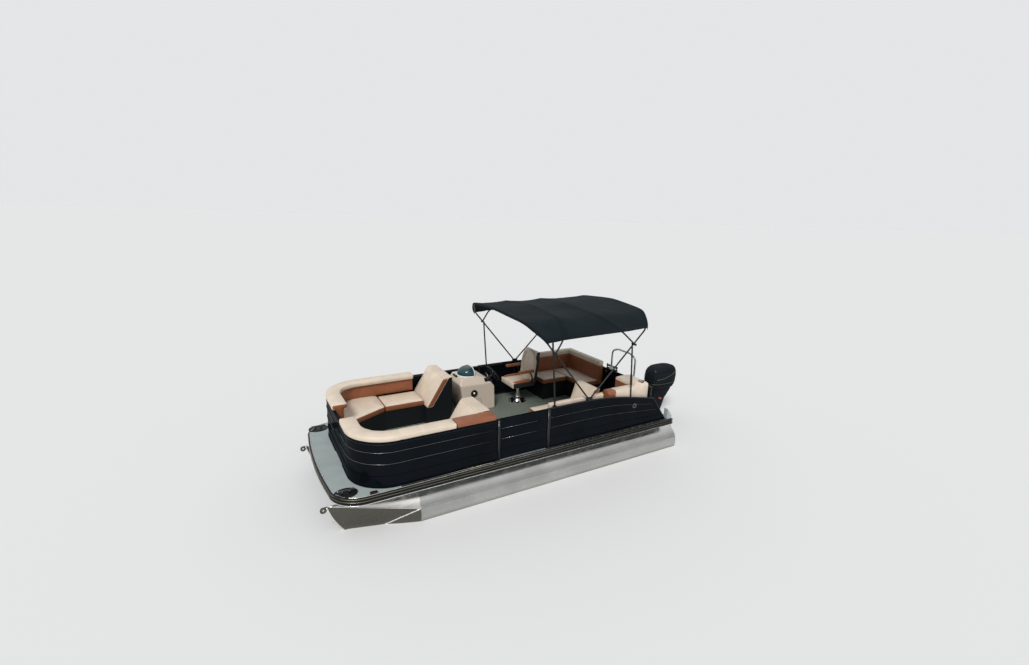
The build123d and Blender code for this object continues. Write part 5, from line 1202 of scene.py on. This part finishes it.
def build_bimini_fittings():
    knob = [(0, 0), (0.011, 0.0), (0.020, 0.003), (0.021, 0.014), (0.012, 0.018), (0, 0.019)]
    for body, (x, z) in KNEES.items():
        seats = [place((x, side * KNEE_Y, z), ABEAM * side) for side in (-1, 1)]
        lathes(f"bimini_knobs_{body}", knob, seats, "black_trim", body=body, sides=20)
    run = [REAR_LEG[0].lerp(REAR_LEG[1], share) for share in (0.24, 0.25, 0.42, 0.43)]
    sleeves = [[(p.x, side * p.y, p.z) for p in run] for side in (-1, 1)]
    tubes("bimini_leg_sleeves", sleeves, 0.0195, "rubber_grip", "black_frame", sides=16)


# Outboard
COWL_FORM = np.array([
    # height, front x, rear x, half width, squareness
    (0.640, -3.672, -4.272, 0.152, 3.2),
    (0.662, -3.652, -4.300, 0.176, 3.1),
    (0.732, -3.638, -4.334, 0.200, 3.0),
    (0.744, -3.642, -4.332, 0.198, 3.0),
    (0.748, -3.650, -4.326, 0.192, 3.0),
    (0.752, -3.640, -4.338, 0.201, 3.0),
    (0.800, -3.632, -4.350, 0.208, 2.9),
    (0.900, -3.630, -4.362, 0.214, 2.8),
    (1.000, -3.644, -4.356, 0.209, 2.7),
    (1.060, -3.676, -4.334, 0.194, 2.6),
    (1.098, -3.722, -4.298, 0.168, 2.5),
    (1.118, -3.790, -4.240, 0.124, 2.4),
    (1.128, -3.880, -4.150, 0.062, 2.2),
])
SKIRT_FORM = np.array([
    # height, front x, rear x, half width, squareness
    (0.300, -3.830, -4.030, 0.074, 2.8),
    (0.360, -3.815, -4.100, 0.090, 2.8),
    (0.440, -3.800, -4.170, 0.108, 2.8),
    (0.540, -3.780, -4.232, 0.130, 2.8),
    (0.600, -3.760, -4.262, 0.146, 2.8),
    (0.648, -3.750, -4.278, 0.153, 2.8),
])
COWL_SIDES = 72
COWL_STEP = 0.018
SKIRT_STEPS = 24
RIM_Z = 0.770
SWEEP_X, SWEEP_LONG = -3.74, 0.52
SWEEP_Z, SWEEP_RISE = 0.875, 0.13
ACCENT_X, ACCENT_Z = (-3.995, -3.900), (0.396, 0.436)
ACCENT_Y, ACCENT_HALF = 0.101, 0.007
ACCENT_SLANT = Matrix.Rotation(math.radians(-28), 3, "Y")


def form_at(form, z):
    """Front x, rear x, half width and squareness of a form at a height."""
    return [float(np.interp(z, form[:, 0], form[:, k])) for k in range(1, 5)]


def oval(form, z, grow=0.0):
    """A form's outline at a height, as a ring of points."""
    front, rear, half, power = form_at(form, z)
    middle, reach = (front + rear) / 2, (front - rear) / 2 + grow
    ring = []
    for pair in circle(COWL_SIDES):
        c, s = (math.copysign(abs(v) ** (2 / power), v) for v in pair)
        ring.append(Vector((middle + reach * c, (half + grow) * s, z)))
    return ring


def build_cowl():
    """The cowl's cover and its rim line."""
    heights = []
    for low, high in zip(COWL_FORM[:, 0], COWL_FORM[1:, 0]):
        count = max(1, round((high - low) / COWL_STEP))
        heights += [low + (high - low) * k / count for k in range(count)]
    cover = bmesh.new()
    add_skin(cover, [oval(COWL_FORM, z) for z in heights + [COWL_FORM[-1, 0]]], capped=True)
    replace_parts(piece("cowl_cover", cover, "engine_black", body="motor"), "cowl")
    rim = oval(COWL_FORM, RIM_Z, 0.0005)
    tubes("cowl_rim_line", [rim], 0.0032, "champagne_trim", "bare_aluminium", "motor", closed=True, sides=6)


def build_skirt():
    """The smooth skirt round the leg's head."""
    skirt = bmesh.new()
    heights = np.linspace(SKIRT_FORM[0, 0], SKIRT_FORM[-1, 0], SKIRT_STEPS + 1)
    add_skin(skirt, [oval(SKIRT_FORM, z) for z in heights], capped=True)
    piece("outboard_skirt", skirt, "engine_black", body="motor")


def build_cowl_trim():
    """The sweep lines along the cowl's sides, and the red tabs under it."""
    sweeps, accents = [], bmesh.new()
    for side in (-1, 1):
        line = []
        for share in (k / 24 for k in range(25)):
            x, z = SWEEP_X - SWEEP_LONG * share, SWEEP_Z + SWEEP_RISE * share ** 1.5
            front, rear, half, power = form_at(COWL_FORM, z)
            inward = abs((x - (front + rear) / 2) / ((front - rear) / 2)) ** power
            line.append((x, side * (half * (1 - inward) ** (1 / power) + 0.0005), z))
        sweeps.append(line)
        ys = (side * ACCENT_Y - ACCENT_HALF, side * ACCENT_Y + ACCENT_HALF)
        add_block(accents, *zip(ACCENT_X, ys, ACCENT_Z), 0.004, 3, ACCENT_SLANT)
    tubes("cowl_sweep_lines", sweeps, 0.0038, "champagne_trim", "bare_aluminium", "motor", sides=6)
    piece("cowl_accents", accents, "red_accent", "engine_black", "motor")


# Stage, lights and camera
FLOOR_SIZE = 4000
FLOOR_SHADE = (0.80, 0.81, 0.82)
SKY_SHADE = (0.97, 0.985, 1.0)
SKY_LIGHT = 0.52
SKY_SEEN = 0.80
SKY_MIRRORED = (0.30, 0.95)
SUN_FROM = (0.55, 0.62, 0.85)
SUN_SHADE = (1.0, 0.975, 0.94)
SUN_POWER = 2.1
SUN_SPREAD = math.radians(16)


def build_floor():
    """A pale floor at the waterline."""
    bpy.ops.mesh.primitive_plane_add(size=FLOOR_SIZE, location=(0, 0, 0))
    floor = bpy.context.object
    floor.name = "floor"
    floor.data.materials.append(Shader("floor_look", FLOOR_SHADE, 0.8, Specular_IOR_Level=0.1).material)


def build_sky():
    """Even sky light, paler where the camera sees it and darker low down where it is mirrored."""
    world = bpy.data.worlds.new("studio")
    SCENE.world = world
    world.use_nodes = True
    sky = Nodes(world.node_tree)
    rays = sky.node("LightPath").outputs
    height = sky.node("SeparateXYZ", Vector=sky.node("TexCoord").outputs["Generated"]).outputs["Z"]
    low, high = SKY_MIRRORED
    mirrored = sky.node("MapRange", Value=height, From_Max=0.7, To_Min=low, To_Max=high)
    more = sky.maths("SUBTRACT", mirrored.outputs["Result"], SKY_LIGHT)
    gloss = sky.maths("MULTIPLY", rays["Is Glossy Ray"], more)
    seen = sky.maths("MAXIMUM", rays["Is Camera Ray"], rays["Is Transmission Ray"])
    camera = sky.maths("MULTIPLY", seen, SKY_SEEN - SKY_LIGHT)
    background = world.node_tree.nodes["Background"].inputs
    sky.fill(background["Color"], SKY_SHADE)
    sky.fill(background["Strength"], sky.maths("ADD", sky.maths("ADD", gloss, camera), SKY_LIGHT))


def build_sun():
    """One broad, soft sun."""
    data = bpy.data.lights.new("sun", "SUN")
    data.energy = SUN_POWER
    data.angle = SUN_SPREAD
    data.color = SUN_SHADE
    linked("sun", data).rotation_euler = Vector(SUN_FROM).to_track_quat("Z", "Y").to_euler()


def build_camera():
    data = bpy.data.cameras.new("camera")
    data.sensor_width = SENSOR
    data.lens = FOCAL_PIXELS / PHOTO_WIDTH * SENSOR
    camera = linked("camera", data)
    back = CAMERA_RIGHT.cross(CAMERA_UP)
    turn = Matrix((CAMERA_RIGHT, CAMERA_UP, back)).transposed().to_4x4()
    camera.matrix_world = Matrix.Translation(CAMERA_AT) @ turn
    SCENE.camera = camera
    SCENE.view_settings.view_transform = "Standard"


build_camera()
build_floor()
build_sky()
build_sun()
build_seats()
build_backs()
build_side_pads()
build_bolsters()
build_chair_pads()
canopy_sheet = build_canopy()
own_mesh(canopy_sheet)
build_rail_trim()
build_nose_trim()
build_aft_panels()
build_port_gate_trim()
build_fuel_filler()
build_end_gate_latches()
build_band_lines()
build_side_sills()
build_bow_caps()
build_nav_lenses()
build_console()
build_dash()
build_throttle()
build_chair_parts()
build_pedestal_trim()
build_lounge_trim()
build_bimini_fittings()
build_cowl()
build_skirt()
build_cowl_trim()
